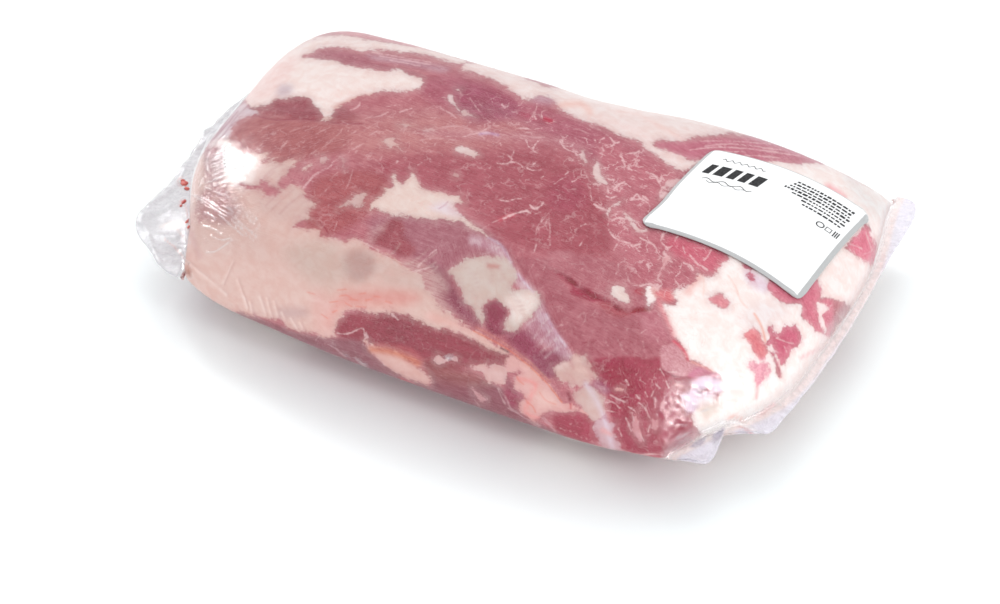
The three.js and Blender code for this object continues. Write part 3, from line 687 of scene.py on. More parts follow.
FATS = [  # name, tone, softness of the edge, cover, outline
    ("crest cap", (241, 222, 217), 1.5, 1,
     "236,96 243,93 246,102 252,108 258,107 268,105 275,99 283,99 295,98 306,97 310,100 314,106 320,111 "
     "325,117 330,116 335,110 343,105 352,101 362,96.5 372,94 385,91.5 400,92 414,91 421,88 423,82 420,78 "
     "410,75 400,70.5 385,71 370,69 358,67.5 345,65 332,60.5 318,59 303,57.5 312,52 325,47.5 345,48 "
     "362,51 375,50 400,52 430,56 445,62 463,64 463,59 430,50 400,44 370,40 345,36 318,37 300,43 283,51 "
     "265,66 250,82"),
    ("back band", (240, 220, 216), 1.8, 1,
     "463,70 466,63 480,63 500,68 515,73 530,80 545,86 556,88 568,84 600,88 650,100 700,110 780,120 "
     "790,136 760,136 722,134 700,137 680,141 665,140 656,142 653,146 660,149 670,152 680,156 690,161 "
     "705,160 697,165 686,171 672,168 658,157 645,147 637,141 620,136 603,127 585,121 570,115 560,110 "
     "555,103 550,98 540,97 530,99 522,98 514,93 503,86 490,78"),
    ("hem cap", (251, 237, 233), 2, 1,
     "728,254 722,262 719,268 717,273 710,277 703,276 698,272 696,279 690,285 683,289 676,290 674,296 "
     "676,301 670,305 664,303 662,308 666,315 668,322 671,331 675,338 680,343 684,349 687,358 692,361 "
     "700,363 706,368 712,371 717,374 720,379 720,392 714,400 700,404 692,412 694,424 700,434 690,448 "
     "700,500 900,420 960,300 940,190 872,186 840,170 832,166 812,163 795,164 780,162 770,161 760,163 "
     "745,162 700,200"),
    ("strip by the hem cap", SNOW, 1.4, 1,
     "646,288 650,286 654,290 657,296 656,300 651,303 649,308 647,302"),
    ("crinkled white", (222, 200, 216), 1.6, 1,
     "690,382 695,380 700,377 708,376 716,378 722,381 722,392 714,391 708,388 703,391 695,387"),
    ("crinkled white, lower", (216, 192, 208), 2, 1,
     "681,396 688,391 694,387 702,393 710,391 717,395 714,404 706,408 698,410 692,413 686,411 684,403"),
    ("splash", (230, 206, 198), 2, 1,
     "370,205 376,199 382,196 384,190 388,187 391,188 393,182 391,176 395,174 397,179 400,183 403,184 "
     "406,180 410,177 412,171 414,171 416,178 419,184 422,190 430,191 440,192 448,195 455,196 462,195 "
     "459,199 466,203 455,203 452,206 458,210 464,216 470,222 476,226 483,231 488,235 480,232 470,228 "
     "462,222 450,222 440,219 436,222 428,220 420,219 410,217 400,216 390,215 382,213 376,209 371,210"),
    ("splash's tail", (216, 188, 182), 1.8, 0.85,
     "336,210 340,206 347,202 352,199 357,194 363,193 367,194 364,199 366,203 358,206 348,205 340,209"),
    ("central", (208, 186, 178), 2.2, 1,
     "449,271 458,265 468,258 487,257 508,258 515,270 517,278 512,288 522,289 533,290 540,296 541,302 "
     "537,310 530,318 524,321 520,327 512,332 506,331 504,325 508,318 510,310 505,306 498,300 490,301 "
     "484,305 482,312 484,320 483,327 480,322 476,315 472,308 465,302 462,295 458,284 449,273"),
    ("front patch", (208, 172, 166), 2.6, 1,
     "554,373 553,368 557,364 561,363 564,360 569,360 572,356 577,354 581,356 585,355 588,358 588,362 "
     "592,365 593,369 597,372 598,377 595,380 591,380 589,384 584,384 580,388 576,385 571,387 567,382 "
     "561,383 557,379"),
    ("front patch, lower", (204, 172, 167), 2.4, 1,
     "573,394 577,390 583,386 590,385 598,390 604,394 606,398 603,402 606,408 603,414 598,420 592,420 "
     "586,414 580,408 574,403"),
    ("bright foot", (200, 164, 170), 2.4, 1,
     "596,420 604,419 612,421 616,424 613,431 616,438 620,446 621,455 612,455 604,448 598,440 594,430"),
    ("front pink fat", (220, 170, 166), 1.8, 1,
     "504,362 509,356 515,357 525,362 536,372 546,382 556,393 563,402 575,403 582,408 590,413 598,421 "
     "588,416 580,411 570,411 560,412 552,410 545,413 535,421 530,418 522,412 519,405 522,400 525,396 "
     "520,391 515,387 516,378 520,372 513,372 507,370"),
    ("front lump", (216, 176, 172), 1.2, 1,
     "470,365 478,364 485,363 489,367 494,363 500,365 505,368 508,373 507,380 504,386 498,384 493,382 "
     "489,384 485,379 482,373 475,370"),
    ("front bits", (216, 178, 176), 1.1, 1,
     "434,357 439,354 443,356 444,360 447,357 449,359 446,362 441,364 436,363"),
    ("front bits, right", (210, 172, 172), 1.1, 1, "450,357 455,356 459,358 458,361 453,361"),
    ("cream under the front muscle", (218, 176, 169), 2.4, 1,
     "364,340 372,346 384,349 396,352 408,358 417,364 424,370 430,376 429,385 418,382 405,377 395,372 "
     "388,367 380,360 372,353 366,346"),
    ("sliver on the underside", (216, 170, 172), 1.6, 0.8,
     "472,387 478,391 484,397 487,400 480,402 476,396"),
    ("spot on the plateau", (234, 216, 210), 1.3, 1,
     "611,291 613,287 619,286 624,289 624,292 628,296 629,302 625,303 620,301 616,298 613,295"),
    ("comma", (232, 206, 202), 1.2, 1,
     "597,160 599,165 600,172 603,177 607,181 609,184 605,185 599,182 595,179 593,174 594,168 596,163"),
    ("comma's neighbour", (224, 192, 190), 1.2, 1, "582,150 585,153 585,158 587,162 584,161 581,156"),
    ("curl", (230, 200, 198), 1.1, 1,
     "606,214 608,209 611,205 616,203 621,201 623,200 620,204 616,206 612,208 609,211 608,216"),
    ("hook", (230, 202, 200), 1.1, 1,
     "623,213 628,215 632,220 635,224 638,229 641,231 644,230 647,228 647,231 641,233 636,231 633,227 "
     "630,221 626,217"),
    ("by the label", (232, 200, 200), 1.6, 0.9, "668,181 676,179 682,181 680,185 675,189 668,188 664,187"),
    ("by the label, lower", (234, 200, 200), 1.4, 0.9, "660,194 665,192 669,195 664,199 660,200"),
    ("crescent", (230, 206, 204), 1.3, 1, "449,95 452,95 454,100 457,106 459,110 455,107 450,104 448,100"),
    ("oval by the crescent", (230, 206, 204), 1.3, 1, "455,89 459,88 460,91 456,92"),
    ("spot in the middle", (230, 208, 204), 1.3, 1,
     "456,148 459,146 466,147 472,150 480,155 472,156 464,154 456,152"),
    ("spot, left", (222, 190, 184), 1.3, 0.9,
     "382,142 388,138 394,137 398,136 394,141 398,145 401,149 398,149 393,145 391,148 386,144"),
    ("spot, top", (222, 188, 182), 1.5, 0.8, "396,126 403,123 410,124 416,126 408,127 402,127"),
    ("spot, back", (222, 192, 188), 1.1, 0.9, "461,112 465,111 468,114 474,116 476,118 468,116 463,115"),
    ("spot, small", (224, 194, 186), 1.3, 1, "321,119.5 324,117 328,116 332,118 332,120 322,121"),
    ("membrane", (221, 187, 178), 2.6, 0.96,
     "178,165 190,158 203,150 216,140 229,138 238,149 248,154 262,153 268,156 262,163 272,160 281,160 "
     "290,160 302,157 298,163 290,169 284,176 279,183 283,188 292,185 300,187 305,193 306,199 318,203 "
     "309,212 310,220 316,225 320,231 322,236 330,238 345,241 352,238 360,240 370,247 382,252 392,257 "
     "400,263 409,270 418,273 424,281 429,290 436,300 446,310 456,318 468,326 480,333 492,341 504,350 "
     "509,355 499,353 488,348 476,341 465,336 455,332 445,329 432,327 420,322 410,317 403,315 395,312 "
     "385,313 375,313 366,312 358,310 350,310 343,315 338,322 334,329 336,335 328,338 320,336 312,333 "
     "305,332 297,331 290,329 285,325 281,321 275,320 266,319 258,316 250,315 235,312 215,312 170,300 "
     "160,200"),
    # A painted sheen: the film's pale lilac gloss over its folds at the tail end, laid on the meat as nearly
    # opaque fat.
    ("lilac folds at the tail end", (222, 204, 210), 2, 0.92,
     "238,98 246,103 252,110 258,113 243,118 233,126 229,139 216,143 203,153 188,166 184,150 200,130"),
    ("triangle in the corner", (216, 160, 164), 1.4, 0.85,
     "635,411 637,420 640,427 642,442 635,436 632,428 634,419"),
    ("blot in the corner", (214, 160, 162), 1.6, 0.8, "651,418 656,421 660,427 655,430 651,427"),
    ("spot, top right", (218, 180, 178), 1.4, 0.7, "424,131 428,129 434,128 433,131 427,132"),
    ("crumb, left", (216, 184, 180), 1.3, 0.8, "319,158 327,157 325,163 321,164"),
    ("crumb, right", (212, 176, 174), 1.6, 0.6, "341,158 345,158 345,168 343,168"),
    ("crumb, middle", (212, 180, 176), 1.2, 0.7, "453,175 457,174 458,177 454,178"),
    ("sliver at the streaks", (222, 190, 182), 1.2, 0.9, "302,171 305,167 311,164 314,163 310,167 306,171"),
    ("fleck in the corner", (226, 176, 172), 1.3, 0.9, "615,389 620,388 623,390 619,391.5"),
    ("fleck in the corner, second", (222, 168, 166), 1.3, 0.85, "674,384 680,385 682,388 676,387"),
    ("pink web at the label", (228, 176, 178), 1.6, 0.75,
     "662,262 667,256 670,259 667,266 663,272 660,278 658,276 661,268"),
    ("white by the web", (240, 196, 190), 1.8, 0.8, "646,288 652,287 658,290 660,296 654,300 650,296"),
]

LEAN_ISLANDS = [  # name, softness, outline
    ("muscle over the label", 1.3,
     "653,145 658,142 665,141 680,142 700,138 722,135 750,137 766,132 800,140 845,168 832,166 822,164 "
     "812,163 795,164 780,162 770,161 760,163 745,164 703,161 690,160 680,155 670,151 660,148"),
    ("island", 1.5, "710,299 714,295 720,294 724,298 729,301 728,306 724,309 718,306 712,303"),
    ("islet at the label", 1, "741,262 744,264 755,268 752,270 744,269"),
    ("islet", 1.2, "746,274 750,272 753,276 754,281 750,281 748,277"),
    ("muscle under the label", 1.3,
     "767,286 769,283 773,276 797,290 812,278 818,285 821,291 821,297 818,302 817,310 819,318 821,325 "
     "825,332 828,336 820,333 815,330 811,323 806,320 802,317 802,310 800,304 797,304 790,304 783,303 "
     "777,299 772,294 767,290"),
    ("strip beyond the streak", 1.2,
     "820,298 830,299 838,300 846,303 850,308 848,318 842,322 838,325 834,332 831,338 828,336 826,328 "
     "824,322 822,315 825,312 830,310 826,305 820,303"),
    ("star", 1,
     "768,328 770,326 773,331 778,333 783,330 786,327 791,327 795,325 798,330 801,337 800,343 795,348 "
     "790,350 789,355 786,360 783,365 780,366 778,360 775,354 773,347 771,344 768,346 766,342 769,338 "
     "768,332"),
    ("star's foot", 1.3, "773,352 777,360 780,370 779,377 776,370 774,362 770,352"),
    ("salmon island", 1.5,
     "743,336 746,332 752,329 757,330 760,333 761,340 766,345 766,352 765,358 760,361 757,356 752,352 "
     "751,345 748,341"),
    ("red island at the hem", 2.5,
     "862,229 867,226 870,232 873,240 876,248 879,255 878,262 875,267 869,262 862,260 856,255 850,250 "
     "846,246"),
    ("orange island", 2.5, "655,291 660,290 668,291 673,294 675,298 672,303 668,300 662,299 657,295"),
    ("finger of lean", 2.5, "241,184 252,186 264,181 272,186 280,190 272,197 262,191 247,189"),
    ("gap in the streaks", 3, "270,158 278,156 292,158 280,162"),
    ("notch", 1.5, "293,228 297,223 303,221 316,220 320,230 306,228"),
    ("purple patches", 5, "198,206 206,194 214,187 222,186 228,194 224,204 212,214 200,222"),
    ("dark rose", 4, "206,149 215,148 215,155 207,156"),
    ("rose island by the hem cap", 2.2,
     "748,366 751,360 758,364 764,362 768,364 768,374 762,381 757,384 755,376 752,372"),
]

VEINS = [  # name, half-width, strength, strokes
    ("right of the middle", 0.55, 0.68,
     "537,104 536,110 534,115 536,119; 534,112 532,117; 542,118 542,112 547,110; 502,104 504,107 508,106 "
     "509,103; 516,129 522,128 528,129; 535,129 543,128; 560,141 564,147 568,150 574,152 577,155; 573,150 "
     "578,152; 563,144 562,140; 510,158 513,154 514,151; 508,155 512,159; 526,140 528,145 529,147; "
     "538,141 534,146 533,150 537,153; 497,163 505,164 512,162 518,163 523,167; 527,168 531,170 540,170 "
     "544,168; 536,162 533,165; 500,200 508,201 515,199 521,199; 554,184 560,180 566,177; 565,175 "
     "568,172; 572,182 576,180; 580,245 584,239; 581,226 586,224; 541,178 544,176"),
    ("left of the middle", 0.55, 0.54,
     "362,120 370,117 380,116 388,112; 386,107 395,105 402,105; 400,112 412,108; 350,110 358,107 360,102; "
     "371,134 377,131; 440,139 450,136 462,137 473,134 480,133; 473,134 485,130 490,126; 332,163 340,157 "
     "346,155 350,151; 303,188 308,182 316,175 325,170 332,165; 300,160 306,155; 400,149 403,152 407,151; "
     "490,146 493,144 496,146; 500,143 501,146; 443,110 450,113 456,118; 334,230 336,226 337,221; 480,231 "
     "484,228 490,224 496,221 504,218; 396,163 398,161; 418,165 422,163; 470,98 474,104 480,112; 478,100 "
     "482,108"),
    ("fine streaks on the left", 0.45, 0.36,
     "305,131 318,125; 316,134 330,127; 322,148 334,139; 340,148 352,139; 348,136 356,131; 326,143 "
     "334,138; 310,147 322,140; 256,150 262,144; 280,150 288,140; 262,128 274,124; 290,132 300,128; "
     "352,150 364,143; 364,130 370,127; 308,156 318,149; 330,180 338,172; 320,196 330,186; 345,190 "
     "350,180 353,168"),
    ("faint streaks", 0.65, 0.32,
     "500,134 510,136; 510,137 520,135 532,137 545,137; 440,128 455,126 470,129; 420,140 440,138 460,141; "
     "470,131 490,133; 566,125 576,129; 580,130 590,134; 575,138 584,143; 590,126 600,130; 604,133 "
     "612,138; 596,146 602,151; 584,170 590,182; 588,186 591,198; 598,188 600,200; 604,186 606,196; "
     "610,154 616,158"),
    ("round muscles", 0.75, 0.77,
     "608,179 611,180 614,180; 614,189 617,186 620,184 624,182; 610,137 613,141 616,143 619,142; 611,146 "
     "614,145; 611,152 613,149; 620,156 623,159 624,163 625,167; 622,160 626,162; 626,154 632,153 "
     "638,152; 634,154 639,151; 646,172 652,174 657,178 659,182 661,180 661,175; 659,182 662,187 667,190 "
     "672,190; 663,187 660,193; 607,214 609,220 608,226 610,232 614,237 618,240; 612,221 615,219 620,218 "
     "624,219 628,219 630,221; 630,199 634,197 637,194 639,197; 630,200 640,199 648,203 650,208 648,212; "
     "643,196 648,200; 594,204 598,207 603,209; 606,196 611,198 617,196; 608,187 608,193; 618,240 624,242 "
     "629,243 632,246 634,250; 614,250 617,244; 634,246 640,244; 590,188 591,196 592,200; 600,140 "
     "604,138; 602,148 604,151; 640,186 644,188; 628,168 632,170; 644,186 648,186"),
    ("below the label", 0.85, 0.77,
     "640,238 646,241 652,244 656,248 657,253; 662,243 666,247 668,250; 672,246 666,249; 664,252 666,256 "
     "667,260 663,266 660,272 658,278; 667,260 672,262; 661,240 663,234; 675,241 678,236; 683,247 "
     "685,253; 711,250 708,256 704,260; 684,263 690,265 693,270; 702,266 707,270; 658,284 652,290; "
     "657,278 662,284 657,288; 690,255 696,262 700,266; 647,264 649,268; 640,286 650,284 658,290; 666,262 "
     "670,258; 700,238 703,243; 676,276 680,272; 640,252 636,248"),
    ("fan", 0.65, 0.54,
     "551,210 547,215 542,221 537,228 536,234; 549,213 549,222 550,232 548,240; 547,220 545,225 540,228; "
     "545,213 544,219; 550,232 550,245; 536,245 534,252; 541,212 535,214; 539,230 540,236; 543,216 "
     "541,222; 546,226 548,231"),
    ("pink vein", 0.85, 0.77,
     "503,219 508,216 514,214 521,212 527,211 530,213; 530,205 533,208 537,209; 536,208 541,206 543,203"),
    ("plateau", 0.45, 0.5,
     "606,341 608,346; 617,338 620,344 623,350 627,354; 643,341 644,347; 641,333 648,328; 647,264 "
     "650,268; 619,272 618,265 622,262 625,261; 617,270 616,274; 643,319 646,320; 560,325 563,325; "
     "535,262 531,268 529,272; 536,259 540,261; 543,270 545,267; 657,340 660,346; 626,262 634,266; "
     "626,273 630,283; 632,286 646,284"),
    ("front corner", 0.75, 0.72,
     "626,380 629,385; 645,392 648,397; 639,403 645,408 650,418; 655,398 656,404; 660,410 664,402; "
     "600,404 612,402 620,408; 632,413 634,420; 626,418 629,425 631,431; 610,395 620,400 625,402; 660,369 "
     "664,375; 666,381 669,388; 668,410 676,407; 648,432 650,425; 644,441 640,433; 670,400 672,404; "
     "610,452 625,452 640,455 655,454 667,456; 604,398 616,404; 603,410 614,412; 640,380 646,384; 651,397 "
     "654,390; 676,395 680,390; 622,436 618,428; 664,424 668,430; 636,395 640,399; 628,407 634,410; "
     "668,372 676,372; 656,384 660,388"),
    ("front muscle", 0.75, 0.77,
     "337,333 343,334 350,333 357,330 361,328 364,330 364,334 367,337 364,340 363,346; 392,314 398,320; "
     "366,333 368,337"),
    ("underside", 0.65, 0.45,
     "325,343 335,348 345,357; 355,357 360,362 367,368; 475,400 480,407; 500,390 507,400 510,408; 538,414 "
     "548,424 556,432; 508,408 525,418 540,426; 316,340 321,334"),
    ("membrane arcs", 0.65, 0.54,
     "360,241 382,253 402,270 412,272 434,266; 418,267 426,258 436,250; 305,187 312,177 322,170 330,167; "
     "445,200 452,207"),
    ("silver streaks on top", 0.55, 0.45, "372,52 400,57 430,62; 380,56 410,61 440,66; 390,60 420,66"),
    ("streaks over the label", 0.55, 0.54,
     "700,141 730,141 770,144; 705,146 735,144 780,150; 690,150 720,147 760,150 800,156; 715,151 745,152; "
     "740,155 760,156 780,158"),
    ("in the islands", 0.65, 0.68,
     "866,232 868,240 871,247 872,251 864,254; 850,244 856,246 862,249; 777,338 786,342 794,344; 771,345 "
     "774,350 779,353; 784,346 787,352; 828,308 832,305; 836,312 842,318"),
    ("specks on the underside", 0.65, 0.45,
     "570,431 571,432; 576,434 577,435; 581,437 582,438; 586,438 587,439; 592,441 593,442; 570,424 "
     "571,424; 498,388 501,396 505,404; 503,392 506,398; 560,428 566,431; 510,408 520,415 530,422 "
     "540,428; 540,412 546,420 552,426"),
]

CREASES = [  # name, depth in millimetres, half-width, line
    ("top seam", 0.5, 2, "257,115 275,119 305,118 335,122 362,123"),
    ("left edge of the band", 0.5, 3, "432,268 446,290 462,306 480,324 500,342 530,366"),
    ("right edge of the band", 0.5, 2.5, "486,234 512,258 532,288 552,324 576,354 596,378"),
    ("nick in the back muscle", 0.5, 2, "455,93 456,102 460,110"),
    ("corner fold", 0.8, 2, "668,440 680,434 692,429"),
    ("slit", 0.9, 2.5, "556,272 568,280 578,288 590,296 604,300 618,309 630,311 648,309"),
    ("plateau's far edge", -0.35, 2, "549,251 570,251 590,257 612,262 625,266"),
    ("plateau's near edge", -0.35, 2, "588,359 620,357 655,358"),
    ("edge of the pale panel", -0.3, 1.6, "661,347 661,366 672,375"),
    ("under the slab", 0.35, 2, "575,298 597,308 614,317 630,316"),
    ("fold by the crinkles", 0.7, 1.8, "664,371 676,378 690,383 702,391"),
    ("fold in the membrane", 0.5, 2, "233,254 229,266 222,284"),
    ("second fold in the membrane", 0.5, 2, "238,280 243,296 247,308"),
    ("fold to the corner", 0.5, 2, "192,264 204,274 222,290 240,304"),
]

AMOUNTS = [  # what it sets, value, softness, outline
    ("marbling", 0.35, 8, "330,125 450,100 560,140 600,200 560,250 480,210 380,170"),
    ("marbling", 1.0, 8, "560,120 650,150 690,175 650,215 730,260 690,290 640,290 600,210 570,160"),
    ("marbling", 0.6, 8, "430,90 520,100 580,130 500,130 430,110"),
    ("marbling", 0.4, 8, "600,362 680,375 690,440 640,455 612,420"),
    ("marbling", 0.15, 3, "555,256 625,265 660,310 650,355 580,350 550,300"),
    ("grain", (0, 1, 0), 10, "232,132 257,114 350,125 350,160 262,170"),
    ("grain", (0, 0, 1), 6, "430,250 520,250 600,400 610,450 560,400 470,320"),
    ("grain", (0, 0, 1), 6, "600,362 690,375 690,440 612,440"),
    ("marbling", 0.3, 8, "232,132 257,114 350,125 380,170 320,230 306,200 262,170"),
]

# %% [markdown]
# ## A finer grid where there are edges
# Evenly fine, the skin would need far more triangles than a piece may have. Thin veins and the rims of the
# fat get a grid below a millimetre, down to about a third of one, and plain muscle keeps one of about two.

# %% Finer grid along the traces
EDGE_BAND, VEIN_BAND = 2.9, 0.8
SHARP = 2.0
closed_traces = [row[-1] for row in FATS + LEAN_ISLANDS]
closed_traces += [row[-1] for row in WASHES if row[3] is None and row[4] <= SHARP]
sharp_lines = VEINS + [row for row in WASHES if row[3] is not None and row[4] <= SHARP]
open_traces = [stroke for row in sharp_lines for stroke in row[-1].split(";")]
for traces, band in ((closed_traces + open_traces, EDGE_BAND), (open_traces, VEIN_BAND)):
    middles, ways = face_arrays(meat)
    face_spots, face_towards = picture_places(middles), facing_camera(middles, ways)
    fine = np.zeros(len(middles), dtype=bool)
    for trace in traces:
        closed = trace in closed_traces
        near, gap = distance_to(trace, closed, reach=band + 1, places=face_spots, facing=face_towards)
        fine[near[np.abs(gap) < band]] = True
    refine(meat, fine, 1, 1.0)
    print("faces made finer:", int(fine.sum()))
select_only(meat)
bpy.ops.object.shade_smooth()
print("meat triangles:", triangles(meat))

# %% What each point of the skin stores
meat_points, meat_ways = points_of(meat), normals_of(meat)
meat_places = picture_places(meat_points)
meat_facing = facing_camera(meat_points, meat_ways)
shown = np.clip((meat_facing - 0.01) / 0.1, 0, 1)
count = len(meat_points)
fat_edge = np.full(count, -REACH)
fat_softness = np.full(count, 1.3)
fat_cover = np.ones(count)
lean_tone = np.tile(light_of(LEAN), (count, 1))
fat_tone = np.tile(light_of(WHITE), (count, 1))
vein_edge = np.full(count, -3.0)
vein_strength = np.zeros(count)
marbling = np.zeros(count)
grain_way = np.tile((1.0, 0.0, 0.0), (count, 1))
crease = np.zeros(count)

# %% Paint from the traces
FAT_RIM = 5.0
for name, tone, soft, cover, trace in FATS:
    near, gap = distance_to(trace)
    rows, gap = near[gap > fat_edge[near]], gap[gap > fat_edge[near]]
    fat_edge[rows] = gap
    share = step(gap, -FAT_RIM, 1)
    fat_softness[rows] += (soft - fat_softness[rows]) * share
    fat_cover[rows] += (cover - fat_cover[rows]) * share
    fat_tone[rows] += (light_of(tone) - fat_tone[rows]) * share[:, None]
for name, soft, trace in LEAN_ISLANDS:
    near, gap = distance_to(trace)
    fat_edge[near] = np.minimum(fat_edge[near], -gap)
    fat_softness[near] += (soft - fat_softness[near]) * step(gap, -4, 0)
for name, tone, onto, wide, soft, strength, traces in WASHES:
    for trace in traces.split(";"):
        near, gap = distance_to(trace, closed=wide is None, half_width=wide or 0.0)
        share = (step(gap, -soft, soft) * strength)[:, None]
        for target in {"lean": [lean_tone], "fat": [fat_tone], "both": [lean_tone, fat_tone]}[onto]:
            target[near] += (light_of(tone) - target[near]) * share
for name, half_width, strength, strokes in VEINS:
    for stroke in strokes.split(";"):
        near, gap = distance_to(stroke, closed=False, half_width=half_width, reach=3)
        rows, gap = near[gap > vein_edge[near]], gap[gap > vein_edge[near]]
        vein_edge[rows] = gap
        vein_strength[rows] = strength
for target, value, soft, trace in AMOUNTS:
    near, gap = distance_to(trace)
    share = step(gap, -soft, soft)
    if target == "marbling":
        marbling[near] += (value - marbling[near]) * share
    else:
        grain_way[near] += (np.array(value) - grain_way[near]) * share[:, None]
for name, depth, half_width, trace in CREASES:
    near, gap = distance_to(trace, closed=False)
    crease[near] += depth * np.exp(-((gap / half_width) ** 2))
print("fat on the seen side: %.0f %%" % (100 * (fat_edge[meat_facing > 0.02] > 0).mean()))

# %% [markdown]
# ## The sides that the photograph doesn't show
# The back, the far ends and the underside are a guess. The same muscle goes on there, with fat in patches of
# the same size. Noise in three dimensions has no seams, so the patches run round the edges without a break.

# %% Fat and tone on the hidden sides
NOISE_SIZE = 26 * MM
FAT_LEVEL = 0.16  # noise above this is fat
MORE_FAT_AT_HEM = 0.35
PIXELS_PER_NOISE = 34
hidden_edge = np.empty(count)
hidden_shade = np.empty(count)
for i, place in enumerate(meat_points):
    spot = Vector((place[0] / (1.7 * NOISE_SIZE), place[1] / NOISE_SIZE, place[2] / (0.8 * NOISE_SIZE)))
    hidden_edge[i] = noise.fractal(spot + Vector((3.1, 7.7, 1.3)), 0.8, 2.1, 3)
    hidden_shade[i] = noise.noise(spot * 0.7 + Vector((9.2, 0.4, 5.5)))
at_hem_end = step(meat_points[:, 0], 0.09, 0.13)
hidden_edge = (hidden_edge - FAT_LEVEL + MORE_FAT_AT_HEM * at_hem_end) * PIXELS_PER_NOISE
tone_range = light_of((188, 128, 134)) - light_of((150, 74, 86))
hidden_tone = light_of((170, 100, 108)) + tone_range * (hidden_shade * 0.5)[:, None]
unseen = (1 - shown)[:, None]
fat_edge = fat_edge * shown + np.clip(hidden_edge, -REACH, REACH) * (1 - shown)
fat_softness = fat_softness * shown + 1.6 * (1 - shown)
fat_cover = fat_cover * shown + 0.95 * (1 - shown)
lean_tone = lean_tone * (1 - unseen) + np.clip(hidden_tone, 0.01, 1) * unseen
fat_tone = fat_tone * (1 - unseen) + light_of((226, 200, 194)) * unseen
marbling = marbling * shown + 0.4 * (1 - shown)
vein_strength *= shown
print("hidden fat: %.0f %%" % (100 * (hidden_edge[meat_facing < 0] > 0).mean()))

# %% Store the paint on the meat, and press the grooves in
def store(thing, name, kind, values):
    layer = thing.data.attributes.new(name, kind, "POINT")
    field = {"FLOAT": "value", "FLOAT_VECTOR": "vector", "FLOAT_COLOR": "color"}[kind]
    layer.data.foreach_set(field, np.ascontiguousarray(values, dtype=np.float32).ravel())


# These come from a fit to two renders of this scene, with the meat painted grey and black.
FILM_GLOSS = 0.042
LIGHT = 1.14
LIGHT_BY_WAY = np.array([-0.14, 0.24, 0.065])


def paint_of(seen):
    """A tone as seen in the picture, with the film's gloss and the light on the place taken off."""
    light = np.clip(LIGHT + meat_ways @ LIGHT_BY_WAY, 0.7, 1.3)[:, None]
    paint = np.clip((seen - FILM_GLOSS) / light, 0.012, 0.95)
    return np.hstack([paint, np.ones((len(seen), 1))])


store(meat, "lean_tone", "FLOAT_COLOR", paint_of(lean_tone))
store(meat, "fat_tone", "FLOAT_COLOR", paint_of(fat_tone))
store(meat, "fat_edge", "FLOAT_VECTOR", np.stack([fat_edge, fat_softness, fat_cover], axis=1))
store(meat, "vein_edge", "FLOAT_VECTOR", np.stack([vein_edge, vein_strength, marbling], axis=1))
store(meat, "grain_way", "FLOAT_VECTOR", grain_way)
FAT_RISE = 0.25
rise = FAT_RISE * step(fat_edge, -2.5, 2.5) * shown - crease * shown
move_points(meat, meat_points + meat_ways * (np.minimum(rise, 0.3) * MM)[:, None])
print("deepest groove: %.1f mm" % (crease * shown).max())

# %% [markdown]
# ## The film
# The film is one closed skin round the meat, with its two layers together in the tail and the hem. Cloth
# simulation could draw it tight, but its folds would fall anywhere. Here it starts as another copy of the
# packed bag, gets a fine grid only where it is wrinkled, and most folds that the photograph shows are raised
# along a line drawn over them. The lamps alone catch too few of these low ridges, so thin light lines are
# painted along many of them, and some small glints are painted only.

# %% Film mesh, finest where it is wrinkled
film = copy_of_node("filled_bag", "bag_film")
round_off(film, 1)
middles, ways = face_arrays(film)
towards = facing_camera(middles, ways)
tail_end = (past_tail_line(middles) > -22 * MM) & (towards > -0.3)
hem_end = past_hem_line(middles) > -12 * MM
refine(film, tail_end | hem_end, 2, 1.0)
GLINT_ZONE = "200,142 236,138 246,160 244,200 262,225 262,250 200,256 190,200"
middles, ways = face_arrays(film)
towards = facing_camera(middles, ways)
film_spots = picture_places(middles)
in_zone = np.zeros(len(middles), dtype=bool)
near, gap = distance_to(GLINT_ZONE, places=film_spots, facing=towards)
in_zone[near[gap > 0]] = True
refine(film, in_zone & (past_tail_line(middles) < 2 * MM), 2, 1.0)
select_only(film)
bpy.ops.object.shade_smooth()
film_points, film_ways = points_of(film), normals_of(film)
film_places, film_facing = picture_places(film_points), facing_camera(film_points, film_ways)
print("film triangles:", triangles(film))

# %% Folds of the film, raised along traced lines, and painted glints
film_lift = np.zeros(len(film_points))
film_tone = np.tile(light_of((236, 236, 240)), (len(film_points), 1))
frost = np.zeros(len(film_points))
crinkle = np.zeros(len(film_points))


def fold(height, lines, half_width=1.3):
    """Raises low ridges along lines, in millimetres, with a half-width in pixels."""
    for line in lines.split(";"):
        near, gap = distance_to(line, closed=False, reach=4 * half_width, places=film_places,
                                facing=film_facing)
        film_lift[near] = np.maximum(film_lift[near], height * np.exp(-((gap / half_width) ** 2)))


def film_wash(tone, trace, cover, soft=4.0, wide=None):
    """Gives the film a tone and a cover, inside an outline or along a line."""
    near, gap = distance_to(trace, closed=wide is None, half_width=wide or 0.0, places=film_places,
                            facing=film_facing)
    share = step(gap, -soft, soft)
    film_tone[near] += (light_of(tone) - film_tone[near]) * share[:, None]
    frost[near] += (cover - frost[near]) * share


def crinkled(value, trace, soft=8.0):
    near, gap = distance_to(trace, places=film_places, facing=film_facing)
    crinkle[near] = np.maximum(crinkle[near], value * step(gap, -soft, soft))


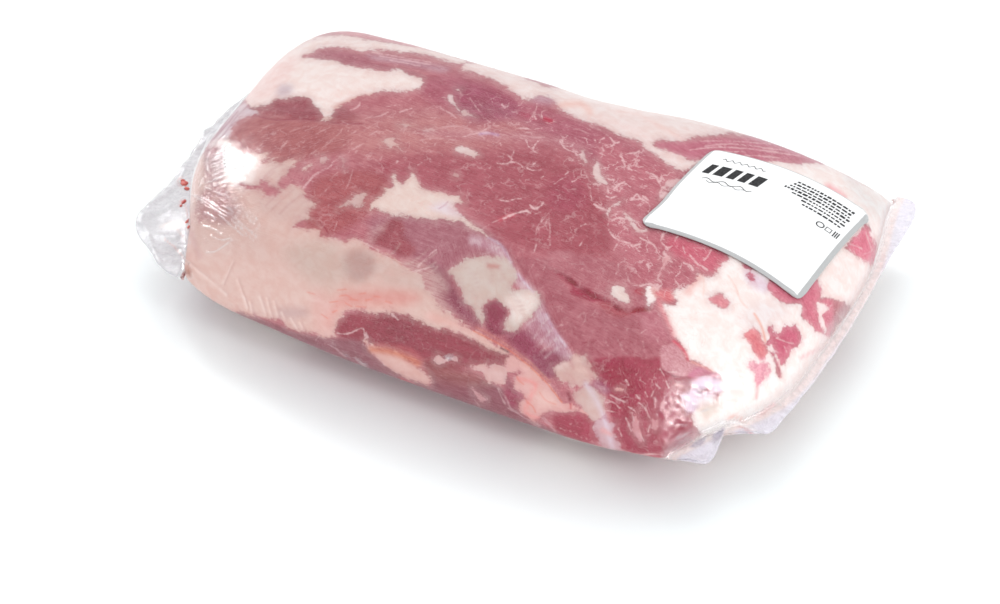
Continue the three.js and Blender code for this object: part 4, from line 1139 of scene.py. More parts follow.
LADDER = ("221,147 232,144; 220,151 230,147; 214,155 227,150; 213,158 227,153; 212,161 227,156; "
          "212,165 226,159; 212,168 226,163; 213,172 226,166; 213,176 228,170; 214,180 227,175; "
          "208,183 222,178; 214,187 226,182")
fold(0.3, LADDER, 1.0)
fold(0.5,
     "193,195 205,199 218,208 230,215 240,222 252,233; 196,197 208,204 220,213 232,220 244,230 "
     "262,245; 198,201 212,210 226,220 238,228",
     1.1)
fold(0.4,
     "203,226 214,229 222,234 232,239; 212,221 222,227 232,234; 207,252 216,251 224,246 231,241; "
     "205,240 212,236 220,240; 194,203 198,201 200,204; 205,213 212,216 216,220; 224,207 234,209 "
     "240,205; 216,192 224,196 228,193; 228,198 234,197 236,200; 206,188 212,190 214,194",
     1.2)
TICKS = [(232, 214), (236, 217), (240, 213), (243, 218), (247, 217), (250, 222), (254, 224), (257, 230),
         (246, 236), (250, 238), (236, 228), (240, 232), (254, 240), (229, 206), (225, 188), (219, 196),
         (234, 190)]
tick_lines = ["%g,%g %g,%g" % (x, y, x + 3, y - 6) for x, y in TICKS]
fold(0.32, ";".join(tick_lines), 1.0)
fold(0.5,
     "233,254 228,268 222,285; 237,278 242,292 247,308; 190,263 215,280 230,292 240,305; 190,262 "
     "198,280 206,298; 180,250 186,257 190,263",
     2.0)
fold(0.7,
     "261,296 263,308 266,318; 267,296 268,308 271,318; 273,300 274,310 276,317; 281,310 283,320; "
     "290,312 295,322 300,330; 300,316 305,330; 254,300 257,314",
     2.2)
# Painted glints: thin near-white lines of film cover along the ladder, the glint lines and the ticks.
PAINTED_GLINT = (255, 252, 250)
for line in LADDER.split(";"):
    film_wash(PAINTED_GLINT, line, 0.62, soft=0.9, wide=0.35)
GLINTS = ("193,195 205,199 218,208 230,215 240,222 252,233; 196,197 208,204 220,213 232,220 244,230; "
          "203,226 214,229 222,234; 207,252 216,251 224,246 231,241; 205,213 212,216 216,220; 224,207 "
          "234,209 240,205; 216,192 224,196 228,193; 228,198 234,197 236,200; 206,188 212,190; 212,236 "
          "222,240 230,238; 222,217 232,226 244,236; 200,186 203,178; 208,170 207,160 210,152")
for line in GLINTS.split(";"):
    film_wash(PAINTED_GLINT, line, 0.55, soft=1.0, wide=0.4)
for line in tick_lines:
    film_wash(PAINTED_GLINT, line, 0.5, soft=0.9, wide=0.35)
# A painted highlight: the film's brightest patch at the tail end, as a near-white cover.
film_wash((255, 253, 251),
          "224,160 226,168 235,170 245,166 246,162 236,160 232,155 231,148 227,146 225,152",
          0.85, soft=2.2)
SMALL_GLINTS = ("333,343 338,347; 355,357 360,361; 362,362 367,368; 345,353 351,361; 656,414 658,411; "
                "676,438 683,435 691,430; 682,425 687,425; 680,402 684,406; 669,422 673,423; 683,416 "
                "688,414; 446,353 449,358; 664,371 672,375 680,378; 690,386 697,391 705,394; 688,378 "
                "694,374 702,373; 696,404 704,400 712,402; 690,398 694,404; 706,384 712,388; 700,412 "
                "708,409")
for line in SMALL_GLINTS.split(";"):
    film_wash((255, 250, 252), line, 0.6, soft=1.1, wide=0.4)
fold(0.45, "244,101 232,115 219,132 206,148; 249,105 238,119 225,134 214,147; 254,110 242,120 232,130", 1.4)
fold(0.35,
     "333,343 340,348; 354,356 360,362; 362,362 367,368; 345,352 352,362; 322,342 330,350; 655,414 "
     "658,410; 660,411 664,416; 676,440 683,435 691,430; 683,422 690,423 695,428 700,430; 700,430 "
     "708,427 718,422 735,423 746,425 756,431; 664,371 676,377; 690,383 698,389 706,393; 720,375 "
     "738,372; 724,384 742,380; 722,390 740,388; 446,353 450,358",
     1.5)

# %% The tail, the hem and the film's crinkles
tail_out, hem_out = past_tail_line(film_points), past_hem_line(film_points)
in_tail, in_hem = step(tail_out, -1 * MM, 3 * MM), step(hem_out, -3 * MM, 2 * MM)
film_tone += (light_of((210, 207, 210)) - film_tone) * in_tail[:, None]
film_tone += (light_of((242, 224, 221)) - film_tone) * in_hem[:, None]
film_tone += (light_of((230, 224, 234)) - film_tone) * step(hem_out, 2.5 * MM, 4.5 * MM)[:, None]
frost += 0.62 * in_tail + 0.7 * in_hem
crinkle = np.maximum(crinkle, np.maximum(in_tail * 0.8, in_hem))
fold(0.9,
     "144,214 158,212 172,206; 150,205 165,195 182,178; 148,232 160,236 176,238; 152,246 166,248 "
     "184,246; 160,256 174,258 188,256; 166,190 176,184 186,170; 190,155 200,148 212,136; 205,132 "
     "214,124 226,118; 141,222 147,230 151,244 160,262",
     2.4)
# Painted shadow: the shaded floor seen through two clear windows of the film at the ear, as a greyish-lilac
# cover.
film_wash((190, 182, 198), "690,447 697,441 706,437 704,443 698,447", 0.6, soft=1.5)
film_wash((190, 182, 198), "712,436 718,430 724,427 722,436 714,444", 0.6, soft=1.5)
film_wash((252, 246, 246), "702,431 712,427 722,422 735,423 745,426 756,432", 0.9, soft=1.5, wide=1.2)
film_wash((226, 170, 168), "738,427 746,430 752,434", 0.6, soft=2, wide=1.0)
crinkled(1.0, GLINT_ZONE)
crinkled(0.9, "684,380 722,374 740,372 742,398 716,410 690,414 680,396")
crinkled(0.6, "640,400 692,400 700,440 640,450")
crinkled(0.7, "740,410 790,390 840,350 890,240 915,200 930,230 860,380 760,450")
crinkled(0.35, "310,338 370,345 400,370 380,378 300,345")
film_wash((204, 142, 122), "165,240 172,246 180,252 184,258 190,263", 0.75, soft=1.5, wide=0.4)
film_wash((196, 128, 108), "190,263 186,268 182,275", 0.7, soft=1.5, wide=0.4)
film_wash((206, 144, 124), "185,264 190,267 192,277 187,276", 0.5, soft=2.5)
film_wash((226, 190, 178), "176,226 182,236 190,243", 0.6, soft=2, wide=0.4)
film_wash((206, 130, 112), "181,186 178,182 182,178", 0.7, soft=1.6, wide=0.4)
film_wash((196, 104, 90), "180,208 182,200 187,212 189,222 188,232", 0.7, soft=1.8, wide=0.5)
film_wash((232, 214, 206), "160,226 172,222 184,224", 0.6, soft=3, wide=0.6)
RIDGE_RISE, ROUGH_RISE, MORE_AT_HEM = 0.13, 0.05, 0.6
LOWEST_FOLD, HIGHEST_FOLD = -0.3, 0.9
TAIL_WAVE, HEM_WAVE = 1.1, 0.5
for i, place in enumerate(film_points):
    if crinkle[i] > 0.02:
        spot = Vector(place)
        rough = noise.hetero_terrain(spot * 260, 1.0, 2.2, 3, 0.6)
        ridge = 1 - abs(noise.noise(spot * 420 + Vector((5, 1, 2)))) * 2
        film_lift[i] += crinkle[i] * (RIDGE_RISE * ridge + ROUGH_RISE * rough) * (1 + MORE_AT_HEM * in_hem[i])
lift = np.clip(film_lift, LOWEST_FOLD, HIGHEST_FOLD)
for i, place in enumerate(film_points):
    if in_tail[i] > 0:
        film_points[i, 2] += in_tail[i] * TAIL_WAVE * MM * noise.noise(Vector((place[0], place[1], 0)) * 75)
    if in_hem[i] > 0:
        film_points[i, 2] += in_hem[i] * HEM_WAVE * MM * noise.noise(Vector((place[0], place[1], 4)) * 160)
move_points(film, film_points + film_ways * (lift * MM)[:, None])
store(film, "frost", "FLOAT", np.clip(frost, 0, 1))
store(film, "crinkle", "FLOAT", np.clip(crinkle, 0, 1))
store(film, "film_tone", "FLOAT_COLOR", np.hstack([np.clip(film_tone, 0, 1), np.ones((len(film_tone), 1))]))
print("highest fold: %.2f mm" % lift.max())

# %% [markdown]
# ## Clots in the tail
# A few lumps of clotted juice sit where the meat ends and the two film layers meet. Each starts as a sphere,
# is pressed flat like the film holds it, and is roughened by moving its points along noise.

# %% Clots
CLOTS = (((185, 184), (3.4, 2.6, 1.4)), ((183, 181), (2.0, 1.6, 1.0)), ((187, 189), (2.2, 1.8, 1.2)),
         ((184, 202), (1.6, 2.8, 1.1)), ((181, 206), (1.0, 1.4, 0.8)),
         ((188, 221), (0.9, 3.2, 0.9)), ((189, 227), (0.9, 2.0, 0.8)))
film_tree = BVHTree.FromPolygons([v.co for v in film.data.vertices],
                                 [f.vertices for f in film.data.polygons])


def on_film(spot):
    """The point of the film under a place in the picture, and the film's normal there."""
    across, down = spot
    way = -TOWARDS_CAMERA + (across - 500) / PIXELS * PICTURE_RIGHT - (down - 302) / PIXELS * PICTURE_UP
    hit = film_tree.ray_cast(Vector(EYE), Vector(way).normalized())
    return hit[0], hit[1]


lumps = []
for index, (spot, size) in enumerate(CLOTS):
    middle, up = on_film(spot)
    for other in bpy.context.view_layer.objects:
        other.select_set(False)
    bpy.ops.mesh.primitive_ico_sphere_add(subdivisions=4, radius=1, location=(0, 0, 0))
    lump = bpy.context.object
    shape = points_of(lump)
    for i, point in enumerate(shape):
        shape[i] *= 1 + 0.45 * noise.noise(Vector(point) * 1.6 + Vector((index * 3.7, 0, 0)))
    shape = shape * np.array(size) / 2 * MM
    shape += np.array(middle) + np.array(up) * 0.2 * MM
    move_points(lump, shape)
    bpy.ops.object.shade_smooth()
    lumps.append(lump)
select_only(lumps[0])
for lump in lumps[1:]:
    lump.select_set(True)
bpy.ops.object.join()
clots = bpy.context.object
clots.name = "juice_clots"
print("clots:", len(CLOTS), "triangles:", triangles(clots))

# %% [markdown]
# ## The label
# The real label is glossy paper with a grey border and rounded corners, stuck on the film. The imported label
# already follows the skin, so a copy of it is made smooth and the border is drawn from stored places on the
# sheet. Its print is left generic: blocks, waves, dashes and three plain marks, as thin plates that are
# pressed onto the sheet.

# %% Label sheet
LABEL_CORNERS = np.array([[57, -17], [122, -6], [129, 65], [65, 43]]) * MM + PLAN_SHIFT
LABEL_BOW = 2 * MM
LABEL_SETTLE = 0.3 * MM


def label_plan(a, b):
    """Plan place of a point of the sheet, with a and b from -1 to 1 along its length and depth."""
    s, t = (np.asarray(a)[..., None] + 1) / 2, (np.asarray(b)[..., None] + 1) / 2
    front = LABEL_CORNERS[0] * (1 - s) + LABEL_CORNERS[1] * s
    back = LABEL_CORNERS[3] * (1 - s) + LABEL_CORNERS[2] * s
    place = front * (1 - t) + back * t
    place[..., 1] += LABEL_BOW * (1 - np.asarray(a) ** 2)
    return place


def sheet_places(points):
    """The way back: a and b of plan places, by a few steps of Newton's method."""
    a, b = np.zeros(len(points)), np.zeros(len(points))
    small = 1e-4
    for _ in range(12):
        here = label_plan(a, b)
        along = (label_plan(a + small, b) - here) / small
        up = (label_plan(a, b + small) - here) / small
        miss = points - here
        area = along[:, 0] * up[:, 1] - along[:, 1] * up[:, 0]
        a = a + (miss[:, 0] * up[:, 1] - miss[:, 1] * up[:, 0]) / area
        b = b + (along[:, 0] * miss[:, 1] - along[:, 1] * miss[:, 0]) / area
    return a, b


label = copy_of_node("label", "label_sheet")
select_only(label)
bpy.ops.object.mode_set(mode="EDIT")
bpy.ops.mesh.select_all(action="SELECT")
bpy.ops.mesh.subdivide(number_cuts=2, smoothness=1.0)
bpy.ops.object.mode_set(mode="OBJECT")
bpy.ops.object.shade_smooth_by_angle(angle=math.radians(40))
label_points = points_of(label)
move_points(label, label_points - np.array([0, 0, LABEL_SETTLE]))
label_points = points_of(label)
sheet_a, sheet_b = sheet_places(label_points[:, :2])
HALF_LONG = np.linalg.norm(LABEL_CORNERS[1] - LABEL_CORNERS[0]) / 2 / MM
HALF_DEEP = np.linalg.norm(LABEL_CORNERS[2] - LABEL_CORNERS[1]) / 2 / MM
under = [film_tree.ray_cast(Vector((x, y, 0.2)), Vector((0, 0, -1)))[1] for x, y, _ in label_points]
label_ways = np.array([tuple(way) for way in under])
upward = np.maximum(label_ways[:, 2], 0.35)
gap_long = (1 - np.abs(sheet_a)) * HALF_LONG * np.sqrt(1 + (label_ways[:, 0] / upward) ** 2)
gap_deep = (1 - np.abs(sheet_b)) * HALF_DEEP * np.sqrt(1 + (label_ways[:, 1] / upward) ** 2)
store(label, "edge_gap", "FLOAT_VECTOR", np.stack([gap_long, gap_deep, np.zeros(len(gap_long))], axis=1))
print("label half sizes in plan: %.1f x %.1f mm" % (HALF_LONG, HALF_DEEP), "triangles:", triangles(label))

# %% Print on the label
label_tree = BVHTree.FromPolygons([v.co for v in label.data.vertices],
                                  [f.vertices for f in label.data.polygons])
PRINT_LIFT = 0.04 * MM
plates = []


def pressed(corner_grid):
    """A plate through a grid of (a, b) places, laid onto the top of the sheet."""
    rows, columns = corner_grid.shape[:2]
    plan = label_plan(corner_grid[..., 0], corner_grid[..., 1])
    for other in bpy.context.view_layer.objects:
        other.select_set(False)
    bpy.ops.mesh.primitive_grid_add(x_subdivisions=columns - 1, y_subdivisions=rows - 1, size=1)
    plate = bpy.context.object
    places = np.zeros((rows * columns, 3))
    for i, (x, y) in enumerate(plan.reshape(-1, 2)):
        hit = label_tree.ray_cast(Vector((x, y, 0.2)), Vector((0, 0, -1)))
        places[i] = (x, y, hit[0].z + PRINT_LIFT)
    move_points(plate, places)
    plates.append(plate)


def bar(s0, s1, t0, t1, slant=0.0, columns=4):
    """A block between two places along and two across the sheet, from 0 to 1, leaning by slant."""
    s, t = np.meshgrid(np.linspace(s0, s1, columns), np.linspace(t0, t1, 3))
    s = s + slant * (t - t0)
    pressed(np.stack([2 * s - 1, 2 * t - 1], axis=-1))


def wave(s0, s1, middle, height, turns, thick, phase=0.0, columns=50):
    """A thin waved line along the sheet."""
    s = np.linspace(s0, s1, columns)
    centre = middle + height * np.sin(np.linspace(0, turns * 2 * math.pi, columns) + phase)
    grid = np.stack([np.stack([2 * s - 1, 2 * (centre + side * thick) - 1], axis=-1) for side in (-1, 0,
            1)])
    pressed(grid)


def ring(s, t, radius, thick, sides=28):
    """A ring, or with four sides a square, drawn as a closed band."""
    turn = np.linspace(0, 2 * math.pi, sides + 1) + math.pi / 4
    grid = [np.stack([2 * (s + r * np.cos(turn)) - 1, 2 * (t + r * np.sin(turn)) - 1],
                     axis=-1) for r in (radius, radius - thick)]
    pressed(np.stack(grid))


draw = random.Random(7)
left = 0.07
for width in (0.055, 0.072, 0.06, 0.06, 0.072):
    bar(left, left + width - 0.014, 0.68, 0.80, slant=0.12)
    left += width + 0.008
wave(0.11, 0.37, 0.885, 0.012, 6, 0.0035)
wave(0.10, 0.40, 0.615, 0.014, 3, 0.003)
wave(0.13, 0.37, 0.595, 0.010, 3, 0.002, phase=2.4)
ROWS = ((0.565, 0.900), (0.555, 0.865), (0.545, 0.832), (0.525, 0.800), (0.585, 0.766), (0.660, 0.734),
        (0.68, 0.700))
for row, (start, t) in enumerate(ROWS):
    thick = 0.019 if row in (0, 1, 3) else 0.014
    s = start
    while s < 0.93:
        width = draw.uniform(0.010, 0.034)
        tall = thick * draw.uniform(0.85, 1.15)
        bar(s, min(s + width, 0.95), t - tall / 2, t + tall / 2, slant=0.1, columns=3)
        s += width + 0.007
ring(0.838, 0.617, 0.026, 0.007)
ring(0.892, 0.617, 0.027, 0.006, sides=4)
for k in range(3):
    bar(0.925 + 0.013 * k, 0.932 + 0.013 * k, 0.590, 0.645, columns=2)
select_only(plates[0])
for plate in plates[1:]:
    plate.select_set(True)
bpy.ops.object.join()
label_print = bpy.context.object
label_print.name = "label_print"
thicken = label_print.modifiers.new("ink", "SOLIDIFY")
thicken.thickness = 0.03 * MM
thicken.offset = 1
bpy.ops.object.modifier_apply(modifier=thicken.name)
bpy.ops.object.mode_set(mode="EDIT")
bpy.ops.mesh.select_all(action="SELECT")
bpy.ops.mesh.normals_make_consistent(inside=False)
bpy.ops.object.mode_set(mode="OBJECT")
print("plates of print:", len(plates), "triangles:", triangles(label_print))

# %% [markdown]
# ## Materials
# The meat's material mixes three things, each with an edge of its own: lean with its grain, veins and
# marbling, and fat. The stored distances turn into masks with a wobble from fine noise, so that no edge looks
# cut out. Lean varies around its stored tone, darker and redder or lighter and paler, in equal parts.

# %% Helpers for materials
def new_material(name):
    material = bpy.data.materials.new(name)
    material.use_nodes = True
    material.node_tree.nodes.clear()
    shader = material.node_tree.nodes.new("ShaderNodeBsdfPrincipled")
    output = material.node_tree.nodes.new("ShaderNodeOutputMaterial")
    material.node_tree.links.new(shader.outputs["BSDF"], output.inputs["Surface"])
    return material, material.node_tree, shader


def plug(tree, socket, value):
    """Sets a socket to a value, or links it when the value is an output."""
    if isinstance(value, bpy.types.NodeSocket):
        tree.links.new(value, socket)
    else:
        socket.default_value = value


def maths(tree, operation, a, b=None, clamp=False):
    node = tree.nodes.new("ShaderNodeMath")
    node.operation = operation
    node.use_clamp = clamp
    plug(tree, node.inputs[0], a)
    if b is not None:
        plug(tree, node.inputs[1], b)
    return node.outputs[0]


def times(tree, a, b, clamp=False):
    return maths(tree, "MULTIPLY", a, b, clamp)


def plus(tree, a, b, clamp=False):
    return maths(tree, "ADD", a, b, clamp)


def ramp(tree, value, low, high, to_low=0.0, to_high=1.0, smooth=True):
    node = tree.nodes.new("ShaderNodeMapRange")
    node.interpolation_type = "SMOOTHSTEP" if smooth else "LINEAR"
    for name, entry in (("Value", value), ("From Min", low), ("From Max", high), ("To Min", to_low),
                        ("To Max", to_high)):
        plug(tree, node.inputs[name], entry)
    return node.outputs["Result"]


def blend(tree, share, a, b, way="MIX"):
    node = tree.nodes.new("ShaderNodeMix")
    node.data_type = "RGBA"
    node.blend_type = way
    plug(tree, node.inputs["Factor"], share)
    plug(tree, node.inputs[6], a)
    plug(tree, node.inputs[7], b)
    return node.outputs[2]


def noise_at(tree, coordinates, scale, detail=2.0, roughness=0.5, distortion=0.0, output="Fac"):
    node = tree.nodes.new("ShaderNodeTexNoise")
    node.inputs["Scale"].default_value = scale
    node.inputs["Detail"].default_value = detail
    node.inputs["Roughness"].default_value = roughness
    node.inputs["Distortion"].default_value = distortion
    tree.links.new(coordinates, node.inputs["Vector"])
    return node.outputs[output]


def stretched(tree, coordinates, turn, scale):
    """Coordinates turned by degrees about X, Y and Z, then divided by a size along each axis."""
    node = tree.nodes.new("ShaderNodeMapping")
    node.vector_type = "TEXTURE"
    node.inputs["Rotation"].default_value = [math.radians(part) for part in turn]
    node.inputs["Scale"].default_value = scale
    tree.links.new(coordinates, node.inputs["Vector"])
    return node.outputs["Vector"]


def attribute(tree, name):
    node = tree.nodes.new("ShaderNodeAttribute")
    node.attribute_name = name
    return node


def parts(tree, vector):
    node = tree.nodes.new("ShaderNodeSeparateXYZ")
    tree.links.new(vector, node.inputs[0])
    return node.outputs


def object_place(tree):
    return tree.nodes.new("ShaderNodeTexCoord").outputs["Object"]


def bump(tree, shader, height, strength, distance):
    node = tree.nodes.new("ShaderNodeBump")
    node.inputs["Strength"].default_value = strength
    node.inputs["Distance"].default_value = distance
    plug(tree, node.inputs["Height"], height)
    tree.links.new(node.outputs["Normal"], shader.inputs["Normal"])


# %% [markdown]
# ## One effect that three materials share
# Clots, paper and ink all show a fine grain between a darker and a lighter tone. A node group holds it once,
# and each material gives it a scale and two tones.

# %% Shared effect: fine grain
def fine_grain_group():
    group = bpy.data.node_groups.new("fine_grain", "ShaderNodeTree")
    for name, kind in (("Place", "Vector"), ("Scale", "Float"), ("Dark", "Color"), ("Light", "Color")):
        group.interface.new_socket(name=name, in_out="INPUT", socket_type="NodeSocket" + kind)
    for name, kind in (("Tone", "Color"), ("Height", "Float")):
        group.interface.new_socket(name=name, in_out="OUTPUT", socket_type="NodeSocket" + kind)
    entry = group.nodes.new("NodeGroupInput").outputs
    leave = group.nodes.new("NodeGroupOutput").inputs
    grain = noise_at(group, entry["Place"], 1.0, 3, 0.6)
    group.links.new(entry["Scale"], grain.node.inputs["Scale"])
    tone = blend(group, ramp(group, grain, 0.3, 0.7), entry["Dark"], entry["Light"])
    group.links.new(tone, leave["Tone"])
    group.links.new(grain, leave["Height"])
    return group


FINE_GRAIN = fine_grain_group()


def fine_grain(tree, scale, dark, light):
    """The shared effect in a material: its tone and its height."""
    node = tree.nodes.new("ShaderNodeGroup")
    node.node_tree = FINE_GRAIN
    tree.links.new(object_place(tree), node.inputs["Place"])
    node.inputs["Scale"].default_value = scale
    node.inputs["Dark"].default_value = (*dark, 1)
    node.inputs["Light"].default_value = (*light, 1)
    return node.outputs["Tone"], node.outputs["Height"]


# %% Meat material
meat_finish, tree, shader = new_material("pork_neck")
place = object_place(tree)
edge = parts(tree, attribute(tree, "fat_edge").outputs["Vector"])
vein = parts(tree, attribute(tree, "vein_edge").outputs["Vector"])
ways = parts(tree, attribute(tree, "grain_way").outputs["Vector"])
lean = attribute(tree, "lean_tone").outputs["Color"]
pale = attribute(tree, "fat_tone").outputs["Color"]


def along_grain(size, detail, roughness, distortion=0.0):
    """Noise stretched along the grain, mixed from the three grain directions."""
    total = None
    for turn, index in (((0, 0, -4), 0), ((0, 0, 42), 1), ((0, 12, -50), 2)):
        streaks = noise_at(tree, stretched(tree, place, turn, size), 1.0, detail, roughness, distortion)
        share = times(tree, streaks, ways[index])
        total = share if total is None else plus(tree, total, share)
    return total


fibres = along_grain((14 * MM, 1.3 * MM, 1.6 * MM), 3, 0.62, 0.4)
fine_fibres = along_grain((7 * MM, 0.45 * MM, 0.6 * MM), 2, 0.5, 0.2)
mottle = noise_at(tree, place, 55, 3, 0.55)
grit = noise_at(tree, place, 900, 3, 0.65)
patches = noise_at(tree, place, 230, 4, 0.65, 0.4)
vary = plus(tree, times(tree, fibres, 0.2), times(tree, mottle, 0.15))
vary = plus(tree, vary, times(tree, fine_fibres, 0.28))
vary = plus(tree, vary, times(tree, patches, 0.37))
lean_dark = blend(tree, 1.0, lean, (0.86, 0.69, 0.75, 1), "MULTIPLY")
lean_light = blend(tree, 1.0, lean, (1.1, 1.31, 1.25, 1), "MULTIPLY")
lean = blend(tree, ramp(tree, vary, 0.41, 0.59), lean_dark, lean_light)
lean = blend(tree, ramp(tree, grit, 0.55, 0.75, 0.0, 0.2), lean, (0.7, 0.42, 0.42, 1))

warped = tree.nodes.new("ShaderNodeVectorMath")
warped.operation = "MULTIPLY_ADD"
tree.links.new(noise_at(tree, place, 170, 3, 0.6, output="Color"), warped.inputs[0])
warped.inputs[1].default_value = (0.012, 0.012, 0.012)
tree.links.new(place, warped.inputs[2])
cells = tree.nodes.new("ShaderNodeTexVoronoi")
cells.feature = "DISTANCE_TO_EDGE"
cells.inputs["Scale"].default_value = 130
tree.links.new(warped.outputs[0], cells.inputs["Vector"])
web = ramp(tree, cells.outputs["Distance"], 0.0, 0.07, 1.0, 0.0)
web = times(tree, web, ramp(tree, noise_at(tree, place, 190, 2), 0.46, 0.6))
flecks = ramp(tree, along_grain((3.2 * MM, 0.5 * MM, 0.8 * MM), 3, 0.65, 0.9), 0.57, 0.68)
flecks = times(tree, flecks, 0.6)
web = maths(tree, "MAXIMUM", times(tree, web, 0.75), flecks)
web = times(tree, web, plus(tree, times(tree, vein[2], 0.8), 0.2))
rough = maths(tree, "SUBTRACT", noise_at(tree, place, 850, 4, 0.7), 0.5)
swell = maths(tree, "SUBTRACT", noise_at(tree, place, 190, 2, 0.5), 0.5)
vein_line = plus(tree, vein[0], times(tree, rough, 4.0))
vein_line = plus(tree, vein_line, times(tree, swell, 3.0))
vein_share = times(tree, ramp(tree, vein_line, -0.8, 1.1), vein[1])
line_share = maths(tree, "MAXIMUM", times(tree, vein_share, 0.9), times(tree, web, 0.72))
lean = blend(tree, line_share, lean, (0.74, 0.5, 0.5, 1))

wobble = times(tree, maths(tree, "SUBTRACT", noise_at(tree, place, 190, 5, 0.62), 0.5), 7.0)
ragged = times(tree, maths(tree, "SUBTRACT", noise_at(tree, place, 560, 4, 0.7), 0.5), 6.0)
wobble = plus(tree, wobble, ragged)
spikes = times(tree, maths(tree, "SUBTRACT", fine_fibres, 0.5), 2.6)
fray = plus(tree, times(tree, edge[1], 0.45), 0.45)
fat_line = plus(tree, edge[0], times(tree, plus(tree, wobble, spikes), fray))
fat_share = ramp(tree, fat_line, times(tree, edge[1], -1), edge[1])
thick = ramp(tree, fat_line, -1, 8, 0.78, 1.0)
halo = ramp(tree, fat_line, -7, 1, 0.0, 0.16)
# A painted shadow: lean is darkened just outside each fat edge, as if the fat's rim shaded it.
painted_rim_shadow = times(tree, ramp(tree, fat_line, -6, -1), 0.22)
lean = blend(tree, painted_rim_shadow, lean, blend(tree, 1.0, lean, (0.86, 0.62, 0.68, 1), "MULTIPLY"))
fat_share = maths(tree, "MAXIMUM", times(tree, times(tree, fat_share, edge[2]), thick), halo)

lobes = noise_at(tree, place, 210, 4, 0.6, 0.5)
swirl = noise_at(tree, stretched(tree, place, (0, 0, -28), (9 * MM, 1.6 * MM, 3 * MM)), 1.0, 4, 0.62, 0.7)
lines = maths(tree, "ABSOLUTE", maths(tree, "SUBTRACT", noise_at(tree, place, 95, 4, 0.6, 0.8), 0.5))
threads = times(tree, ramp(tree, lines, 0.0, 0.012, 1.0, 0.0), ramp(tree, mottle, 0.45, 0.6))
pale_dark = blend(tree, 1.0, pale, (0.975, 0.92, 0.905, 1), "MULTIPLY")
pale_light = blend(tree, 1.0, pale, (1.02, 1.06, 1.07, 1), "MULTIPLY")
pale = blend(tree, ramp(tree, plus(tree, times(tree, lobes, 0.75), times(tree, swirl, 0.25)), 0.36, 0.64),
             pale_dark, pale_light)
pale = blend(tree, times(tree, threads, 0.2), pale, (0.72, 0.36, 0.32, 1))
shade = blend(tree, fat_share, lean, pale)
tree.links.new(shade, shader.inputs["Base Color"])
tree.links.new(ramp(tree, fat_share, 0, 1, 0.45, 0.55, smooth=False), shader.inputs["Roughness"])
relief = plus(tree, times(tree, vary, 0.8), times(tree, fat_share, 0.5))
relief = plus(tree, relief, times(tree, lobes, 0.5))
bump(tree, shader, relief, 0.5, 0.0007)
shader.inputs["Specular IOR Level"].default_value = 0.12
meat.data.materials.clear()
meat.data.materials.append(meat_finish)

# %% Film material
film_finish, tree, shader = new_material("clear_film")
place = object_place(tree)
frosted = attribute(tree, "frost").outputs["Fac"]
creased = attribute(tree, "crinkle").outputs["Fac"]
facing = tree.nodes.new("ShaderNodeLayerWeight")
facing.inputs["Blend"].default_value = 0.5
glancing = maths(tree, "POWER", facing.outputs["Facing"], 5.0)
gloss = plus(tree, times(tree, glancing, 0.4), 0.045)
cloud = noise_at(tree, place, 240, 4, 0.62, 0.4)
crumple = noise_at(tree, place, 520, 3, 0.6, 1.2)
sharp = maths(tree, "ABSOLUTE", maths(tree, "SUBTRACT", crumple, 0.5))
cover = times(tree, frosted, ramp(tree, cloud, 0.3, 0.7, 0.6, 1.0))
gloss = times(tree, gloss, plus(tree, times(tree, creased, 0.9), 1.0))
alpha = plus(tree, gloss, cover, clamp=True)
tree.links.new(alpha, shader.inputs["Alpha"])
tone_and_crumple_shading = attribute(tree, "film_tone").outputs["Color"]
# Painted shade in the hollows of the crumple noise and a painted highlight along its sharp creases, on the
# frosted film.
tone_and_crumple_shading = blend(tree, ramp(tree, crumple, 0.44, 0.3, 0.0, 0.45), tone_and_crumple_shading,
                 blend(tree, 1.0, tone_and_crumple_shading, (0.78, 0.74, 0.8, 1), "MULTIPLY"))
tone_and_crumple_shading = blend(tree, ramp(tree, sharp, 0.03, 0.0, 0.0, 0.6), tone_and_crumple_shading, (0.8, 0.79, 0.82, 1))
tinted = blend(tree, ramp(tree, frosted, 0.0, 0.3), (1, 1, 1, 1), tone_and_crumple_shading)
tree.links.new(tinted, shader.inputs["Base Color"])
tree.links.new(maths(tree, "SUBTRACT", 1.0, times(tree, frosted, 1.5), clamp=True),
               shader.inputs["Metallic"])
tree.links.new(ramp(tree, creased, 0.0, 0.6, 0.22, 0.06), shader.inputs["Roughness"])
crease_height = times(tree, times(tree, sharp, -0.6), plus(tree, creased, 0.03))
wave_height = times(tree, noise_at(tree, place, 150, 2, 0.5), 0.3)
bump(tree, shader, plus(tree, crease_height, wave_height), 0.6, 0.0009)
film.data.materials.clear()
film.data.materials.append(film_finish)

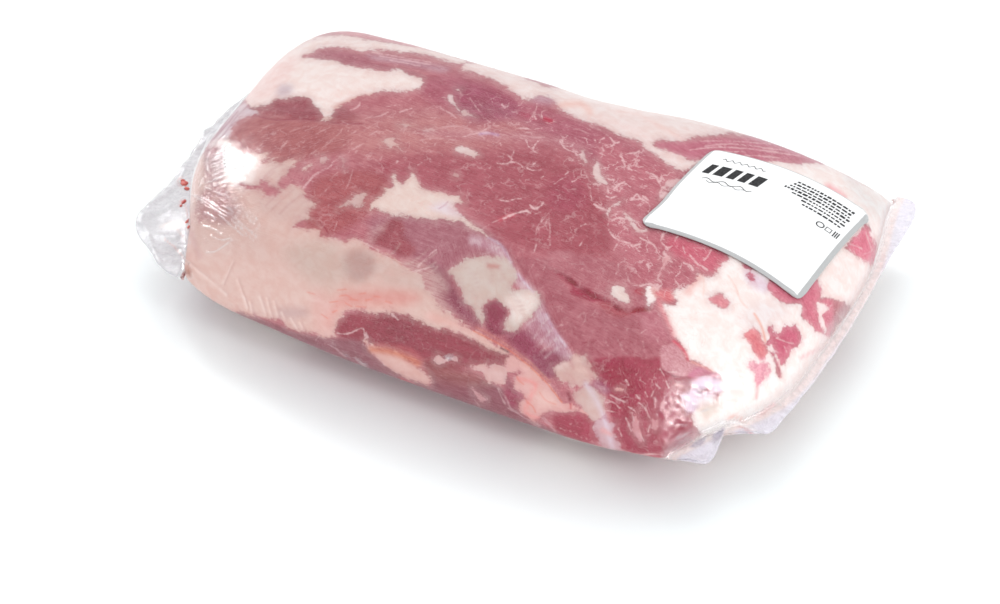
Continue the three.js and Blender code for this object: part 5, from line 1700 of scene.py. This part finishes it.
# %% Clot material
clot_finish, tree, shader = new_material("juice_clots")
tone, height = fine_grain(tree, 700, (0.42, 0.05, 0.045), (0.72, 0.18, 0.14))
tree.links.new(tone, shader.inputs["Base Color"])
tree.links.new(ramp(tree, height, 0.3, 0.7, 0.25, 0.45), shader.inputs["Roughness"])
bump(tree, shader, height, 0.5, 0.0006)
clots.data.materials.append(clot_finish)

# %% Label materials
label_finish, tree, shader = new_material("label_paper")
gaps = parts(tree, attribute(tree, "edge_gap").outputs["Vector"])
CORNER = 1.9
BORDER = 1.45
outside = []
for index in (0, 1):
    past = maths(tree, "SUBTRACT", CORNER, gaps[index])
    outside.append(maths(tree, "MAXIMUM", past, 0.0))
corner_gap = maths(tree, "SQRT",
                   plus(tree, maths(tree, "POWER", outside[0], 2.0), maths(tree, "POWER", outside[1], 2.0)))
white, paper_grain = fine_grain(tree, 2500, (0.83, 0.83, 0.83), (0.88, 0.88, 0.88))
grey, _ = fine_grain(tree, 2500, (0.42, 0.42, 0.42), (0.47, 0.47, 0.47))
ragged_cut = times(tree, maths(tree, "SUBTRACT", paper_grain, 0.5), 0.1)
inside = plus(tree, maths(tree, "SUBTRACT", CORNER, corner_gap), ragged_cut)
in_border = ramp(tree, inside, BORDER - 0.12, BORDER + 0.12, 1.0, 0.0)
tree.links.new(blend(tree, in_border, white, grey), shader.inputs["Base Color"])
tree.links.new(ramp(tree, paper_grain, 0.3, 0.7, 0.3, 0.4), shader.inputs["Roughness"])
bump(tree, shader, paper_grain, 0.08, 0.0002)
label.data.materials.clear()
label.data.materials.append(label_finish)

ink_finish, tree, shader = new_material("label_print")
tone, height = fine_grain(tree, 1500, (0.012, 0.012, 0.013), (0.05, 0.05, 0.052))
tree.links.new(tone, shader.inputs["Base Color"])
tree.links.new(ramp(tree, height, 0.3, 0.7, 0.4, 0.55), shader.inputs["Roughness"])
shader.inputs["Specular IOR Level"].default_value = 0.15
label_print.data.materials.clear()
label_print.data.materials.append(ink_finish)

# %% Finish
PIECES = (
    (meat, "filled_bag", "meat_in_film"),
    (film, "filled_bag", "clear_film"),
    (clots, "filled_bag", "meat_in_film"),
    (label, "label", "label_paper"),
    (label_print, "label", "label_paper"),
)
for piece, node, finish in PIECES:
    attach(piece, "root")
    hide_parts(node)
